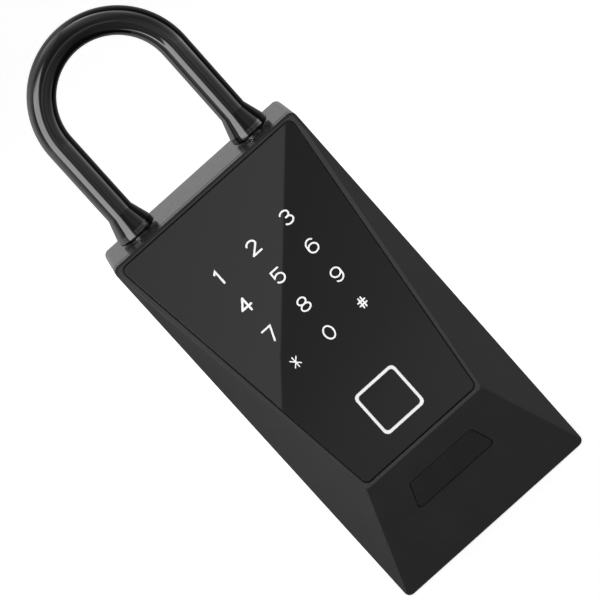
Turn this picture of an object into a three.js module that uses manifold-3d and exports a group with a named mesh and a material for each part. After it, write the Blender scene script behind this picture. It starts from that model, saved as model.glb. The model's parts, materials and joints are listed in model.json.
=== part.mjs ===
// A portable smart key safe. A rear housing holds the key compartment and the shackle lock. A faceted door
// on a hinge along the bottom edge carries the glass touch panel, the batteries and a motor-driven latch.
// Units are millimetres and +Z is up. A depth is the distance forward from the back plane of the case, so
// inside the case group the y of a point is minus its depth, and the front of the safe looks along -Y.

import * as THREE from "three";
import { ConvexGeometry } from "three/addons/geometries/ConvexGeometry.js";
import { mergeVertices } from "three/addons/utils/BufferGeometryUtils.js";
import Module from "manifold-3d";

const wasm = await Module();
wasm.setup();

// Clearances and cuts
const fit = 0.3; // between pieces that move past each other
const seat = 0.2; // between pieces that rest on each other
const overrun = 6; // how far a cut runs past what it cuts
const weld = 0.0005; // vertices closer than this are one

// Facet counts
const smallSides = 16;
const roundSides = 20;
const archSteps = 16;
const cornerSteps = 2;
const outlineSteps = 4; // in the corners of the case, the glass, the ring and the port cover

// Case: a rectangular box whose front rises to two apexes near the bottom
const caseWidth = 72;
const heightBeyondCell = 92.5; // what stands above and below a cell in the case's height
const edgeDepth = 35.25; // from the back plane to the front edges
const apexRise = 8.05; // how far the apexes stand in front of the edges
const apexHeight = 36.5;
const apexSpan = 46.4; // between the two apexes
const cornerRadius = 2.1;
const backEdge = 1; // rounding of the back edges
const wall = 3;
const topWall = 4;
const rimStep = 2.95; // the door starts this far behind the front edges
const partingGap = 0.3;

// Front cover of the door
const roofWall = 2.8; // wall thickness, measured along the depth
const coverWall = 2.7; // thickness of its side walls

// Glass touch panel, set in the face between the top edge and the apexes
const rimTop = 1.7;
const rimBottom = 1.5;
const rimSideTop = 2;
const rimSideBottom = 1.4;
const seamGap = 0.3;
const glassThickness = 1.2;
const glassCorner = 1.8;
const gasketThickness = 0.4;
const gasketGap = 0.15;
const ledgeWidth = 2.2;
const touchBoardThickness = 1;

// Fingerprint sensor with its light ring
const sensorRise = 14.35; // centre above the lower edge of the glass
const ringSize = 15.8;
const ringStroke = 1.05;
const ringCorner = 2;
const ringGap = 0.1;
const sensorModuleSize = 17.4;
const sensorModuleCorner = 0.7;
const sensorModuleThickness = 2;

// Bottom hinge of the door
const barrelRadius = 3.3;
const barrelFloorGap = 0.1;
const barrelSetback = 0.45; // behind the front edge of the case
const pinRadius = 1.25;
const pinInset = 1;
const lugSpacing = 33;
const lugWidth = 5;
const lugRadius = 3.2;
const webRun = 9.5; // from the hinge axis back along the compartment floor

// Inner cover that closes the door behind, with its seal
const innerPlate = 2.3;
const innerGap = 1.3; // from the hinge barrel to the seal's bottom edge
const sealWidth = 1;
const sealThickness = 1.9;
const sealCorner = 1.5;

// Battery tray for four cells side by side
const cellRadius = 5.25;
const cellLength = 44.5;
const cellPitch = 10.9;
const cellCount = 4;
const cellNubRadius = 1.9;
const cellNub = 0.9;
const trayDrop = 4.7; // from the latch pocket down to the tray's upper face
const trayWall = 1.4;
const trayEndRoom = 2; // from a cell's end to the tray's end wall
const trayBack = 22.8; // depth of the battery cover's outer face
const traySideRoom = 0.45;
const trayFrontWall = 1.3;
const batteryCoverThickness = 1.4;
const batteryCoverLip = 1.2;
const coverGripWidth = 12;
const coverGripHeight = 3;
const coverGripDepth = 0.7;
const coverGripCorner = 1;
const contactThickness = 0.6;
const contactWidth = 7;
const contactBumpRadius = 2.4;
const contactBumpTipRadius = 1.4;

// Latch: a bolt with rack teeth, driven up into the deck by a pinion on a gearmotor
const gearModule = 0.6;
const pinionTeeth = 12;
const pressureAngle = (20 * Math.PI) / 180;
const rootShare = 1.25; // of the module, from the pitch circle down to the pinion's roots
const backlash = 0.16; // taken off the tooth thickness, half from each gear
const pinionWidth = 5.2;
const flankSteps = 3;
const rackAddendum = 0.4;
const rackDedendum = 0.75;
const boltWidth = 6.6;
const boltBody = 1.45; // metal behind the rack's roots
const boltTravel = 6;
const spareTeeth = 4; // rack teeth beyond the travel, so that the pinion never runs off the rack
const boltRest = 0.9; // the retracted tip stays this far below the deck
const boltTipBevel = 0.6;
const pinionDrop = 17.5; // from the deck's underside down to the pinion's axis
const pocketBack = 20; // depth of the latch pocket's outer face
const pocketWall = 1.6;
const pocketTopDrop = 2.5; // from the deck's underside down to the pocket's top
const pocketHeight = 30;
const pocketLeft = 8;
const pocketInset = 9.5; // from the case's side to the latch pocket's side
const guideWall = 1.6;
const guideHeightLow = 6;
const guideHeightHigh = 7;
const shaftRadius = 1;
const bearingHeight = 6;
const gearboxLength = 9;
const motorEndRoom = 0.7; // from the motor's end to the pocket's wall
const motorHeight = 10;
const motorDepth = 8;
const motorTailRadius = 1.5;
const motorTail = 0.7;
const cradleWidth = 1.4;
const cradleShares = [0.25, 0.75]; // of the motor's length, where its two cradle walls stand
const latchCoverThickness = 0.8;

// Boards and small parts inside the door
const mainBoardThickness = 1;
const mainBoardWidth = 44;
const mainBoardHeight = 24;
const chipSize = 9;
const chipThickness = 0.25;
const buzzerRadius = 4.5;
const buzzerHeight = 2.2;
const buzzerInset = 18.5; // from the case's side to the buzzer's axis
const buzzerHeightAt = 17;

// Screws that hold the inner cover to the front cover
const doorScrewRadius = 1.15;
const doorScrewHead = 1.9;
const doorScrewHeadHeight = 1.3;
const doorScrewBite = 3; // length held in the boss
const doorBossRadius = 2.6;
const doorScrewLow = 13;
const doorScrewLowInset = 9; // from the case's side
const doorScrewHigh = 90;
const doorScrewHighInset = 7; // from the case's side

// Charging port behind a flap in the bottom facet
const portDrop = 3.58; // from the battery tray's lower face down to the flap's upper edge
const portHeight = 8.5;
const portLowWidth = 30.4;
const portCorner = 1.1;
const flapThickness = 1.4;
const socketWidth = 9.2;
const socketHeight = 3.4;
const socketDepth = 4.2;
const socketCorner = 1.2;
const socketWall = 0.4;
const socketFloor = 0.8;
const tongueWidth = 6.6;
const tongueThickness = 0.7;
const tongueLength = 2.6;
const portBoardWidth = 20;
const portBoardHeight = 8;
const portBoardThickness = 0.8;

// Shackle: a steel bar in a moulded sleeve whose ends flare into boots
const legInset = 13.1; // from the case's side to a leg's axis
const barRadius = 3.4;
const sleeveRadius = 4.5;
const shackleTop = 63; // above the top of the case
const bootRadius = 6.5;
const bootRimRadius = 6.4;
const bootRim = 2.4;
const bootHeight = 8.4;
const bootLift = 0.5; // above the top of the case
const neckRadius = 2.2;
const shackleTravel = 18; // until the legs leave the case
const legHoleGap = 0.4;
const legBoss = 1.8; // wall of the boss round a leg hole
const shackleSealWidth = 1.4;
const shackleSealThickness = 1.3;

// Shackle lock: a keyhole plate that slides between the deck and the bosses of the top wall
const lockPlateThickness = 2;
const lockPlateDrop = 12; // from the top of the case down to the plate's upper face
const deckThickness = 2.2;
const deckFrontStep = 3; // the deck's front edge stays this far behind the housing's
const lockTravel = 4.2;
const lockPlateEdge = 1.5; // metal left beside a keyhole
const lockPlateBackRun = 6.6; // from the legs' axis to the plate's back edge
const lockPlateFrontRun = 5.3;
const lockPlateWaistRun = 1;
const lockPlateWaistInset = 9.4; // from a leg's axis to the waist
const slotHalf = 2.5;
const guideScrewInset = 13.9; // from a leg's axis to the guide screw's
const guideScrewShoulder = 1.5;
const guideScrewShank = 1.1;
const guideScrewHead = 2.8;
const guideScrewHeadHeight = 1.1;
const guideScrewSetback = 2.6; // behind the legs' axis
const tabWidth = 7;
const tabThickness = 1.6;
const tabDrop = 11; // below the plate's lower face
const knobWidth = 12;
const knobHeight = 8;
const knobDepth = 5.4;
const knobCorner = 1.4;
const knobEdge = 0.5;

// Posts of the top wall and the screws that hold the deck
const postRadius = 2.9;
const postBackInset = 10; // from the case's side
const postBackDepth = 7.2;
const postFrontAside = 13;
const postFrontSetback = 2.9; // behind the deck's front edge
const deckScrewRadius = 1.2;
const deckScrewHead = 2.3;
const deckScrewHeadHeight = 1.2;
const deckScrewBite = 6;

// Soft pads
const padRecess = 1;
const padSideMargin = 8;
const padEndMargin = 8;
const padCorner = 4;
const linerThickness = 1.2;
const linerMargin = 2;
const linerBottom = 9;
const linerTopDrop = 12; // below the deck
const linerCorner = 3;

// Finishes, each as colour, roughness and metalness
const finishes = {
  caseBlack: { color: 0x2b2c2e, roughness: 0.62, metalness: 0.1 },
  coverBlack: { color: 0x28292b, roughness: 0.58, metalness: 0.1 },
  glass: { color: 0x0f1012, roughness: 0.08, metalness: 0 },
  lightRing: { color: 0xf4f6f7, roughness: 0.45, metalness: 0 },
  sensorBlack: { color: 0x141517, roughness: 0.2, metalness: 0 },
  rubber: { color: 0x1b1c1d, roughness: 0.85, metalness: 0 },
  sleeve: { color: 0x0d0d0e, roughness: 0.22, metalness: 0 },
  innerPlastic: { color: 0x232426, roughness: 0.7, metalness: 0 },
  steel: { color: 0x9b9ea2, roughness: 0.35, metalness: 1 },
  zinc: { color: 0xb4b7b8, roughness: 0.45, metalness: 1 },
  brass: { color: 0xb08d4a, roughness: 0.35, metalness: 1 },
  board: { color: 0x14402c, roughness: 0.55, metalness: 0 },
  cell: { color: 0x2f4f7f, roughness: 0.4, metalness: 0.3 },
  spring: { color: 0xc9c9c4, roughness: 0.3, metalness: 1 },
  knob: { color: 0x7a7c7f, roughness: 0.55, metalness: 0 },
};

// Planes and places that several pieces share
const halfWidth = caseWidth / 2;
const caseHeight = cellLength + heightBeyondCell;
const apexHalf = apexSpan / 2;
const apexDepth = edgeDepth + apexRise;
const housingFront = edgeDepth - rimStep - partingGap;
const coverBack = housingFront + partingGap;
const openingHalf = halfWidth - wall;
const openingTop = caseHeight - topWall;
const hingeDepth = edgeDepth - barrelSetback - barrelRadius;
const hingeHeight = barrelRadius + barrelFloorGap;
const notchDepth = hingeDepth - hingeHeight - fit;
const innerFront = coverBack - seat;
const innerBack = innerFront - innerPlate;
const sealBottom = hingeHeight + barrelRadius + innerGap;
const sealTop = openingTop - fit;
const sealHalf = openingHalf - fit;
const plateInset = sealWidth + seat;

const legHalf = halfWidth - legInset;
const legDepth = edgeDepth / 2;
const archCentre = caseHeight + shackleTop - sleeveRadius - legHalf;
const legBottom = caseHeight - shackleTravel - fit - seat;
const bootBottom = caseHeight + bootLift;
const legHoleRadius = barRadius + legHoleGap;
const plateTop = caseHeight - lockPlateDrop;
const plateBottom = plateTop - lockPlateThickness;
const neckTop = plateTop + legHoleGap;
const neckBottom = plateBottom - legHoleGap;
const deckTop = plateBottom - fit;
const deckBottom = deckTop - deckThickness;
const deckFront = housingFront - deckFrontStep;
const bossBottom = plateTop + fit;
const guideScrewHalf = legHalf - guideScrewInset;
const lockPlateWaistHalf = legHalf - lockPlateWaistInset;
const keyholeRadius = barRadius + legHoleGap;
const plateBackDepth = legDepth - lockPlateBackRun;
const guideScrewDepth = legDepth - guideScrewSetback;

const pitchRadius = (gearModule * pinionTeeth) / 2;
const toothPitch = Math.PI * gearModule;
const rackTeeth = Math.ceil(boltTravel / toothPitch) + spareTeeth;
const pocketInside = pocketBack + pocketWall;
const boltBack = pocketInside + fit;
const rackRoot = boltBack + boltBody;
const rackPitchDepth = rackRoot + rackDedendum;
const boltFront = rackPitchDepth + rackAddendum;
const pinionDepth = rackPitchDepth + pitchRadius;
const pinionHeight = deckBottom - pinionDrop;
const pocketRight = halfWidth - pocketInset;
const pocketTop = deckBottom - pocketTopDrop;
const pocketBottom = pocketTop - pocketHeight;
const boltTop = deckBottom - boltRest;
const boltBottom = pocketBottom + pocketWall + fit;
const boltHalf = boltWidth / 2;
const motorEnd = pocketRight - pocketWall - motorEndRoom;
const motorLength = motorEnd - boltHalf - fit - gearboxLength;
const latchCoverFront = innerFront + seat + latchCoverThickness;
const mainBoardBack = latchCoverFront + seat;

const trayTop = pocketBottom - trayDrop;
const trayInnerTop = trayTop - trayWall;
const trayInnerBottom = trayInnerTop - cellLength - 2 * trayEndRoom;
const trayBottom = trayInnerBottom - trayWall;
const trayInnerHalf = (cellPitch * (cellCount - 1)) / 2 + cellRadius + traySideRoom;
const trayHalf = trayInnerHalf + batteryCoverLip + trayWall;
const cellDepth = trayBack + batteryCoverThickness + seat + seat + cellRadius;
const trayFloor = cellDepth + cellRadius + seat;

// Frame on the glass face: x to the right, y up the face from its top edge, z outwards
const faceLean = Math.atan2(apexRise, caseHeight - apexHeight);
const faceLength = Math.hypot(apexRise, caseHeight - apexHeight);
const faceFrame = frameOn(edgeDepth, caseHeight, Math.PI / 2 - faceLean);

// Frame on the bottom facet: x to the right, y up the facet from its bottom edge, z outwards
const facetLean = Math.atan2(apexRise, apexHeight);
const facetLength = Math.hypot(apexRise, apexHeight);
const facetFrame = frameOn(edgeDepth, 0, Math.PI / 2 + facetLean);
const portLow = (trayBottom - portDrop) / Math.cos(facetLean) - portHeight;

// The frame at a depth and height, turned about X.
function frameOn(depth, z, turn) {
  return new THREE.Matrix4().makeRotationX(turn).setPosition(0, -depth, z);
}

// A box between two places on each axis: [left, right], [rear depth, front depth], [bottom, top].
function block([left, right], [rear, front], [bottom, top]) {
  const box = new THREE.BoxGeometry(right - left, front - rear, top - bottom);
  return box.translate((left + right) / 2, -(rear + front) / 2, (bottom + top) / 2);
}

// Round rods along each axis.
function rodAlongX(radius, [left, right], depth, z, sides = roundSides) {
  const rod = new THREE.CylinderGeometry(radius, radius, right - left, sides);
  return rod.rotateZ(Math.PI / 2).translate((left + right) / 2, -depth, z);
}

function rodAlongDepth(radius, x, [rear, front], z, sides = smallSides) {
  const rod = new THREE.CylinderGeometry(radius, radius, front - rear, sides);
  return rod.translate(x, -(rear + front) / 2, z);
}

function rodAlongZ(radius, x, depth, [bottom, top], sides = smallSides) {
  const rod = new THREE.CylinderGeometry(radius, radius, top - bottom, sides);
  return rod.rotateX(Math.PI / 2).translate(x, -depth, (bottom + top) / 2);
}

// A turned shape about a vertical axis, from [radius, height] pairs that start and end on the axis.
function turned(profile, x, depth, sides = smallSides) {
  const points = profile.map(([radius, height]) => new THREE.Vector2(radius, height));
  return new THREE.LatheGeometry(points, sides).rotateX(Math.PI / 2).translate(x, -depth, 0);
}

// A flat shape of x and height, extruded forward between two depths.
function extrudeForward(shape, [rear, front], edge = 0, steps = cornerSteps) {
  const plate = new THREE.ExtrudeGeometry(shape, {
    depth: front - rear - 2 * edge,
    curveSegments: steps,
    bevelEnabled: edge > 0,
    bevelThickness: edge,
    bevelSize: edge,
    bevelOffset: -edge,
    bevelSegments: cornerSteps,
  });
  return plate.rotateX(Math.PI / 2).translate(0, -rear - edge, 0);
}

// A flat shape in the plane of a face, extruded between two heights over that face.
function extrudeOnFace(shape, [under, over]) {
  const options = { depth: over - under, curveSegments: outlineSteps, bevelEnabled: false };
  return new THREE.ExtrudeGeometry(shape, options).translate(0, 0, under);
}

// Corner points of an upright rectangle, counter-clockwise.
function rectangle([left, right], [bottom, top]) {
  return [
    new THREE.Vector2(left, bottom),
    new THREE.Vector2(right, bottom),
    new THREE.Vector2(right, top),
    new THREE.Vector2(left, top),
  ];
}

// Corner points of a trapezoid that is symmetric about x = 0.
function trapezoid(lowHalf, topHalf, low, top) {
  return [
    new THREE.Vector2(-lowHalf, low),
    new THREE.Vector2(lowHalf, low),
    new THREE.Vector2(topHalf, top),
    new THREE.Vector2(-topHalf, top),
  ];
}

// The corners of a convex outline moved inwards, so that each edge shifts by the same distance.
function inset(points, distance) {
  return points.map((corner, i) => {
    const before = points.at(i - 1).clone().sub(corner).normalize();
    const after = points[(i + 1) % points.length].clone().sub(corner).normalize();
    const sine = Math.abs(before.cross(after));
    return corner.clone().addScaledVector(before.add(after), distance / sine);
  });
}

// A convex outline with every corner rounded by an arc.
function rounded(points, radius) {
  const shape = new THREE.Shape();
  points.forEach((corner, i) => {
    const before = points.at(i - 1).clone().sub(corner).normalize();
    const after = points[(i + 1) % points.length].clone().sub(corner).normalize();
    const half = before.angleTo(after) / 2;
    const centre = before.clone().add(after).setLength(radius / Math.sin(half)).add(corner);
    const start = before.multiplyScalar(radius / Math.tan(half)).add(corner).sub(centre);
    const end = after.multiplyScalar(radius / Math.tan(half)).add(corner).sub(centre);
    shape.absarc(centre.x, centre.y, radius, start.angle(), end.angle(), false);
  });
  return shape.closePath();
}

// A closed geometry as a solid that can be joined and cut.
function solid(geometry) {
  const loose = geometry.index ? geometry.toNonIndexed() : geometry.clone();
  loose.deleteAttribute("normal");
  loose.deleteAttribute("uv");
  const merged = mergeVertices(loose, weld);
  const vertProperties = merged.attributes.position.array;
  const triVerts = new Uint32Array(merged.index.array);
  return new wasm.Manifold(new wasm.Mesh({ numProp: 3, vertProperties, triVerts }));
}

function joined(geometries) {
  return geometries.map(solid).reduce((whole, next) => whole.add(next));
}

function cut(body, geometries) {
  return body.subtract(joined(geometries));
}

// A named mesh of a solid or of a plain geometry.
function piece(name, shape, finish) {
  const material = new THREE.MeshStandardMaterial({ ...finishes[finish], flatShading: true });
  const mesh = new THREE.Mesh(shape.isBufferGeometry ? shape : geometryOf(shape), material);
  mesh.name = name;
  return mesh;
}

function geometryOf(body) {
  const { vertProperties, triVerts } = body.getMesh();
  const geometry = new THREE.BufferGeometry();
  geometry.setAttribute("position", new THREE.BufferAttribute(vertProperties, 3));
  geometry.setIndex(new THREE.BufferAttribute(triVerts, 1));
  geometry.computeVertexNormals();
  return geometry;
}

function group(...members) {
  return new THREE.Group().add(...members);
}

const sides = [
  ["left", -1],
  ["right", 1],
];

// Rear housing: a tub whose top wall carries the leg holes and whose floor carries the hinge lugs
function rearHousing() {
  const outline = rounded(rectangle([-halfWidth, halfWidth], [0, caseHeight]), cornerRadius);
  const shell = solid(extrudeForward(outline, [0, housingFront + overrun], backEdge, outlineSteps));
  const past = housingFront + 2 * overrun;
  const tub = cut(shell, [
    block([-openingHalf, openingHalf], [wall, past], [wall, openingTop]),
    block([-caseWidth, caseWidth], [housingFront, past], [-overrun, caseHeight + overrun]),
    block([-caseWidth, caseWidth], [notchDepth, housingFront + overrun], [-overrun, hingeHeight]),
    rodAlongX(barrelRadius + fit, [-caseWidth, caseWidth], hingeDepth, hingeHeight),
    extrudeForward(padShape(0), [-overrun, padRecess]),
  ]);
  const additions = [];
  for (const [, side] of sides) {
    const boss = [bossBottom, openingTop + fit];
    additions.push(...hingeLug((side * lugSpacing) / 2));
    additions.push(rodAlongZ(legHoleRadius + legBoss, side * legHalf, legDepth, boss, roundSides));
  }
  for (const [x, depth] of deckPosts()) {
    additions.push(rodAlongZ(postRadius, x, depth, [deckTop + seat, openingTop + fit]));
  }
  const holes = [rodAlongX(pinRadius + seat, [-lugSpacing, lugSpacing], hingeDepth, hingeHeight)];
  for (const [, side] of sides) {
    const x = side * legHalf;
    const sealSeat = barRadius + seat + shackleSealWidth + seat;
    const sealFloor = caseHeight - shackleSealThickness - seat;
    holes.push(rodAlongZ(legHoleRadius, x, legDepth, [bossBottom - fit, caseHeight + overrun], roundSides));
    holes.push(rodAlongZ(sealSeat, x, legDepth, [sealFloor, caseHeight + overrun], roundSides));
  }
  const screwHole = [deckTop - fit, deckTop + deckScrewBite + 2 * seat];
  for (const [x, depth] of deckPosts()) {
    holes.push(rodAlongZ(deckScrewRadius + seat, x, depth, screwHole));
  }
  return piece("rear_housing", cut(tub.add(joined(additions)), holes), "caseBlack");
}

// A lug round the hinge pin, carried by a web that runs back along the compartment floor.
function hingeLug(x) {
  const across = [x - lugWidth / 2, x + lugWidth / 2];
  const webTop = hingeHeight + lugRadius;
  const webUnder = hingeHeight - (coverBack - hingeDepth) + fit;
  return [
    rodAlongX(lugRadius, across, hingeDepth, hingeHeight),
    block(across, [hingeDepth - webRun, hingeDepth], [webUnder, webTop]),
    block(across, [hingeDepth - webRun, notchDepth], [wall / 2, webTop]),
  ];
}

function deckPosts() {
  const front = deckFront - postFrontSetback;
  return [
    [postBackInset - halfWidth, postBackDepth],
    [halfWidth - postBackInset, postBackDepth],
    [-postFrontAside, front],
    [postFrontAside, front],
  ];
}

function padShape(clearance) {
  const outline = rectangle(
    [padSideMargin - halfWidth, halfWidth - padSideMargin],
    [padEndMargin, caseHeight - padEndMargin],
  );
  return rounded(inset(outline, clearance), padCorner - clearance);
}

function backPad() {
  return piece("back_pad", extrudeForward(padShape(seat), [0, padRecess - seat]), "rubber");
}

function compartmentLiner() {
  const half = openingHalf - linerMargin;
  const outline = rounded(rectangle([-half, half], [linerBottom, deckBottom - linerTopDrop]), linerCorner);
  const rear = wall + seat;
  return piece("compartment_liner", extrudeForward(outline, [rear, rear + linerThickness]), "rubber");
}

// Steel deck between the compartment and the lock: leg holes, the latch's strike slot, the tab's slot
function lockDeck() {
  const half = openingHalf - fit;
  const deck = solid(block([-half, half], [wall + fit, deckFront], [deckBottom, deckTop]));
  const through = [deckBottom - overrun, deckTop + overrun];
  const holes = [
    block([-boltHalf - fit, boltHalf + fit], [boltBack - fit, boltFront + fit], through),
    block(
      [-tabWidth / 2 - fit, tabWidth / 2 + lockTravel + fit],
      [plateBackDepth - fit, plateBackDepth + tabThickness + fit],
      through,
    ),
  ];
  for (const [, side] of sides) {
    holes.push(rodAlongZ(legHoleRadius, side * legHalf, legDepth, through, roundSides));
    holes.push(rodAlongZ(guideScrewShank + seat, side * guideScrewHalf, guideScrewDepth, through));
  }
  for (const [x, depth] of deckPosts()) {
    holes.push(rodAlongZ(deckScrewRadius + seat, x, depth, through));
  }
  return piece("lock_deck", cut(deck, holes), "steel");
}

function deckScrews() {
  const under = deckBottom - seat;
  const profile = [
    [0, under - deckScrewHeadHeight],
    [deckScrewHead, under - deckScrewHeadHeight],
    [deckScrewHead, under],
    [deckScrewRadius, under],
    [deckScrewRadius, deckTop + deckScrewBite],
    [0, deckTop + deckScrewBite],
  ];
  return deckPosts().map(([x, depth], i) => {
    return piece("deck_screw_" + (i + 1), turned(profile, x, depth), "steel");
  });
}

// Shoulder screws that guide the lock plate along its slots.
function guideScrews() {
  const profile = [
    [0, deckBottom + seat],
    [guideScrewShank, deckBottom + seat],
    [guideScrewShank, deckTop + seat / 2],
    [guideScrewShoulder, deckTop + seat / 2],
    [guideScrewShoulder, plateTop + fit],
    [guideScrewHead, plateTop + fit],
    [guideScrewHead, plateTop + fit + guideScrewHeadHeight],
    [0, plateTop + fit + guideScrewHeadHeight],
  ];
  return sides.map(([word, side]) =>
    piece("slide_screw_" + word, turned(profile, side * guideScrewHalf, guideScrewDepth), "steel"),
  );
}

function hingePin() {
  const reach = halfWidth - pinInset;
  const pin = rodAlongX(pinRadius, [-reach, reach], hingeDepth, hingeHeight, smallSides);
  return piece("hinge_pin", pin, "steel");
}

function shackleSeals() {
  const low = caseHeight - shackleSealThickness;
  const high = caseHeight - seat / 2;
  const inner = barRadius + seat;
  const outer = inner + shackleSealWidth;
  const profile = [
    [inner, low],
    [outer, low],
    [outer, high],
    [inner, high],
    [inner, low],
  ];
  return sides.map(([word, side]) =>
    piece("shackle_seal_" + word, turned(profile, side * legHalf, legDepth, roundSides), "rubber"),
  );
}

// The shackle's centre line: up the left leg, over the arch and down the right leg. Each leg is one step
// of an extrusion along it and each of the arch's steps is one more, so shares are counted in steps.
class ShacklePath extends THREE.Curve {
  constructor(bottom) {
    super();
    this.bottom = bottom;
    this.steps = archSteps + 2;
  }

  angleAt(share) {
    return Math.PI * (1 - THREE.MathUtils.clamp((share * this.steps - 1) / archSteps, 0, 1));
  }

  getPoint(share, target = new THREE.Vector3()) {
    const angle = this.angleAt(share);
    const onLeg = Math.max(1 - share * this.steps, share * this.steps - archSteps - 1, 0);
    const drop = onLeg * (archCentre - this.bottom);
    return target.set(legHalf * Math.cos(angle), -legDepth, archCentre + legHalf * Math.sin(angle) - drop);
  }

  getTangent(share, target = new THREE.Vector3()) {
    const angle = this.angleAt(share);
    return target.set(Math.sin(angle), 0, -Math.cos(angle));
  }

  getPointAt(share, target) {
    return this.getPoint(share, target);
  }

  getTangentAt(share, target) {
    return this.getTangent(share, target);
  }
}

// A U of round section whose legs end at a height.
function shackleRod(radius, bottom) {
  const path = new ShacklePath(bottom);
  const section = new THREE.Shape().absarc(0, 0, radius, 0, 2 * Math.PI, false);
  const options = { steps: path.steps, curveSegments: roundSides / 2, extrudePath: path };
  return solid(new THREE.ExtrudeGeometry(section, options));
}

function shackleBar() {
  const neck = [
    [neckRadius, neckBottom],
    [barRadius + fit, neckBottom],
    [barRadius + fit, neckTop],
    [neckRadius, neckTop],
    [neckRadius, neckBottom],
  ];
  const necks = sides.map(([, side]) => turned(neck, side * legHalf, legDepth, roundSides));
  return piece("shackle_bar", cut(shackleRod(barRadius, legBottom), necks), "steel");
}

function shackleSleeve() {
  const boot = [
    [0, bootBottom],
    [bootRadius, bootBottom],
    [bootRimRadius, bootBottom + bootRim],
    [sleeveRadius, bootBottom + bootHeight],
    [barRadius, bootBottom + bootHeight],
    [0, bootBottom + bootHeight],
  ];
  const boots = sides.map(([, side]) => turned(boot, side * legHalf, legDepth, roundSides));
  const outside = shackleRod(sleeveRadius, bootBottom + bootRim).add(joined(boots));
  const bore = shackleRod(barRadius + seat, bootBottom - overrun);
  return piece("shackle_sleeve", outside.subtract(bore), "sleeve");
}

// The keyhole plate, shown unlocked: each leg stands in the wide end of its keyhole.
function lockPlate() {
  const tall = [plateBottom, plateTop];
  const left = -legHalf - lockTravel - slotHalf - lockPlateEdge;
  const right = legHalf + keyholeRadius + lockPlateEdge;
  const front = legDepth + lockPlateFrontRun;
  const tabFront = plateBackDepth + tabThickness;
  const blank = joined([
    block([left, -lockPlateWaistHalf], [plateBackDepth, front], tall),
    block([lockPlateWaistHalf, right], [plateBackDepth, front], tall),
    block([left + slotHalf, right - slotHalf], [plateBackDepth, legDepth + lockPlateWaistRun], tall),
    block([-tabWidth / 2, tabWidth / 2], [plateBackDepth, tabFront], [plateBottom - tabDrop, plateTop]),
  ]);
  const through = [plateBottom - fit, plateTop + fit];
  const holes = [];
  for (const [, side] of sides) {
    const wide = side * legHalf;
    const narrow = wide - lockTravel;
    const guide = side * guideScrewHalf;
    const guideHalf = guideScrewShoulder + fit;
    holes.push(rodAlongZ(keyholeRadius, wide, legDepth, through, roundSides));
    holes.push(rodAlongZ(slotHalf, narrow, legDepth, through));
    holes.push(block([narrow, wide], [legDepth - slotHalf, legDepth + slotHalf], through));
    holes.push(rodAlongZ(guideHalf, guide, guideScrewDepth, through));
    holes.push(rodAlongZ(guideHalf, guide - lockTravel, guideScrewDepth, through));
    const across = [guideScrewDepth - guideHalf, guideScrewDepth + guideHalf];
    holes.push(block([guide - lockTravel, guide], across, through));
  }
  return piece("lock_plate", cut(blank, holes), "zinc");
}

// The thumb piece pressed on the plate's tab, inside the compartment.
function releaseKnob() {
  const bottom = plateBottom - tabDrop - knobEdge;
  const rear = plateBackDepth + tabThickness / 2 - knobDepth / 2;
  const outline = rectangle([-knobWidth / 2, knobWidth / 2], [bottom, bottom + knobHeight]);
  const body = solid(extrudeForward(rounded(outline, knobCorner), [rear, rear + knobDepth], knobEdge));
  const slot = block(
    [-tabWidth / 2 - seat, tabWidth / 2 + seat],
    [plateBackDepth - seat, plateBackDepth + tabThickness + seat],
    [plateBottom - tabDrop - seat, deckBottom],
  );
  return piece("release_knob", cut(body, [slot]), "knob");
}

// The space under the faceted front, moved back by a distance along the depth.
function roof(back) {
  const points = [];
  for (const [, side] of sides) {
    for (const height of [-overrun, caseHeight + overrun]) {
      points.push(new THREE.Vector3(side * halfWidth, 0, height));
    }
    points.push(new THREE.Vector3(side * halfWidth, back - edgeDepth, caseHeight));
    points.push(new THREE.Vector3(side * halfWidth, back - edgeDepth, 0));
    points.push(new THREE.Vector3(side * apexHalf, back - apexDepth, apexHeight));
  }
  return solid(new ConvexGeometry(points));
}

// Corner points of the glass, in the frame on its face.
function glassOutline() {
  const top = -rimTop;
  const low = rimBottom - faceLength;
  const faceHalf = (y) => halfWidth + ((apexHalf - halfWidth) * -y) / faceLength;
  return trapezoid(faceHalf(low) - rimSideBottom, faceHalf(top) - rimSideTop, low, top);
}

function glassShape(distance) {
  return rounded(inset(glassOutline(), distance), glassCorner);
}

// A rounded square round the sensor's centre, with the ring's outer outline at distance zero.
function sensorShape(distance) {
  const centre = rimBottom - faceLength + sensorRise;
  const half = ringSize / 2 - distance;
  const corner = Math.max(ringCorner - distance, ringCorner / 2);
  return rounded(rectangle([-half, half], [centre - half, centre + half]), corner);
}

function sensorModuleShape(clearance) {
  const centre = rimBottom - faceLength + sensorRise;
  const half = sensorModuleSize / 2 + clearance;
  return rounded(rectangle([-half, half], [centre - half, centre + half]), sensorModuleCorner);
}

// Corner points of the charging port's flap, in the frame on the bottom facet.
function portOutline() {
  const lowHalf = portLowWidth / 2;
  const taper = ((halfWidth - apexHalf) * portHeight) / facetLength;
  return trapezoid(lowHalf, lowHalf - taper, portLow, portLow + portHeight);
}

function socketShape(distance) {
  const centre = portLow + portHeight / 2;
  const half = socketWidth / 2 - distance;
  const rise = socketHeight / 2 - distance;
  return rounded(rectangle([-half, half], [centre - rise, centre + rise]), socketCorner - distance);
}

const doorScrewPlaces = sides.flatMap(([, side]) => [
  [side * (halfWidth - doorScrewLowInset), doorScrewLow],
  [side * (halfWidth - doorScrewHighInset), doorScrewHigh],
]);

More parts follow.
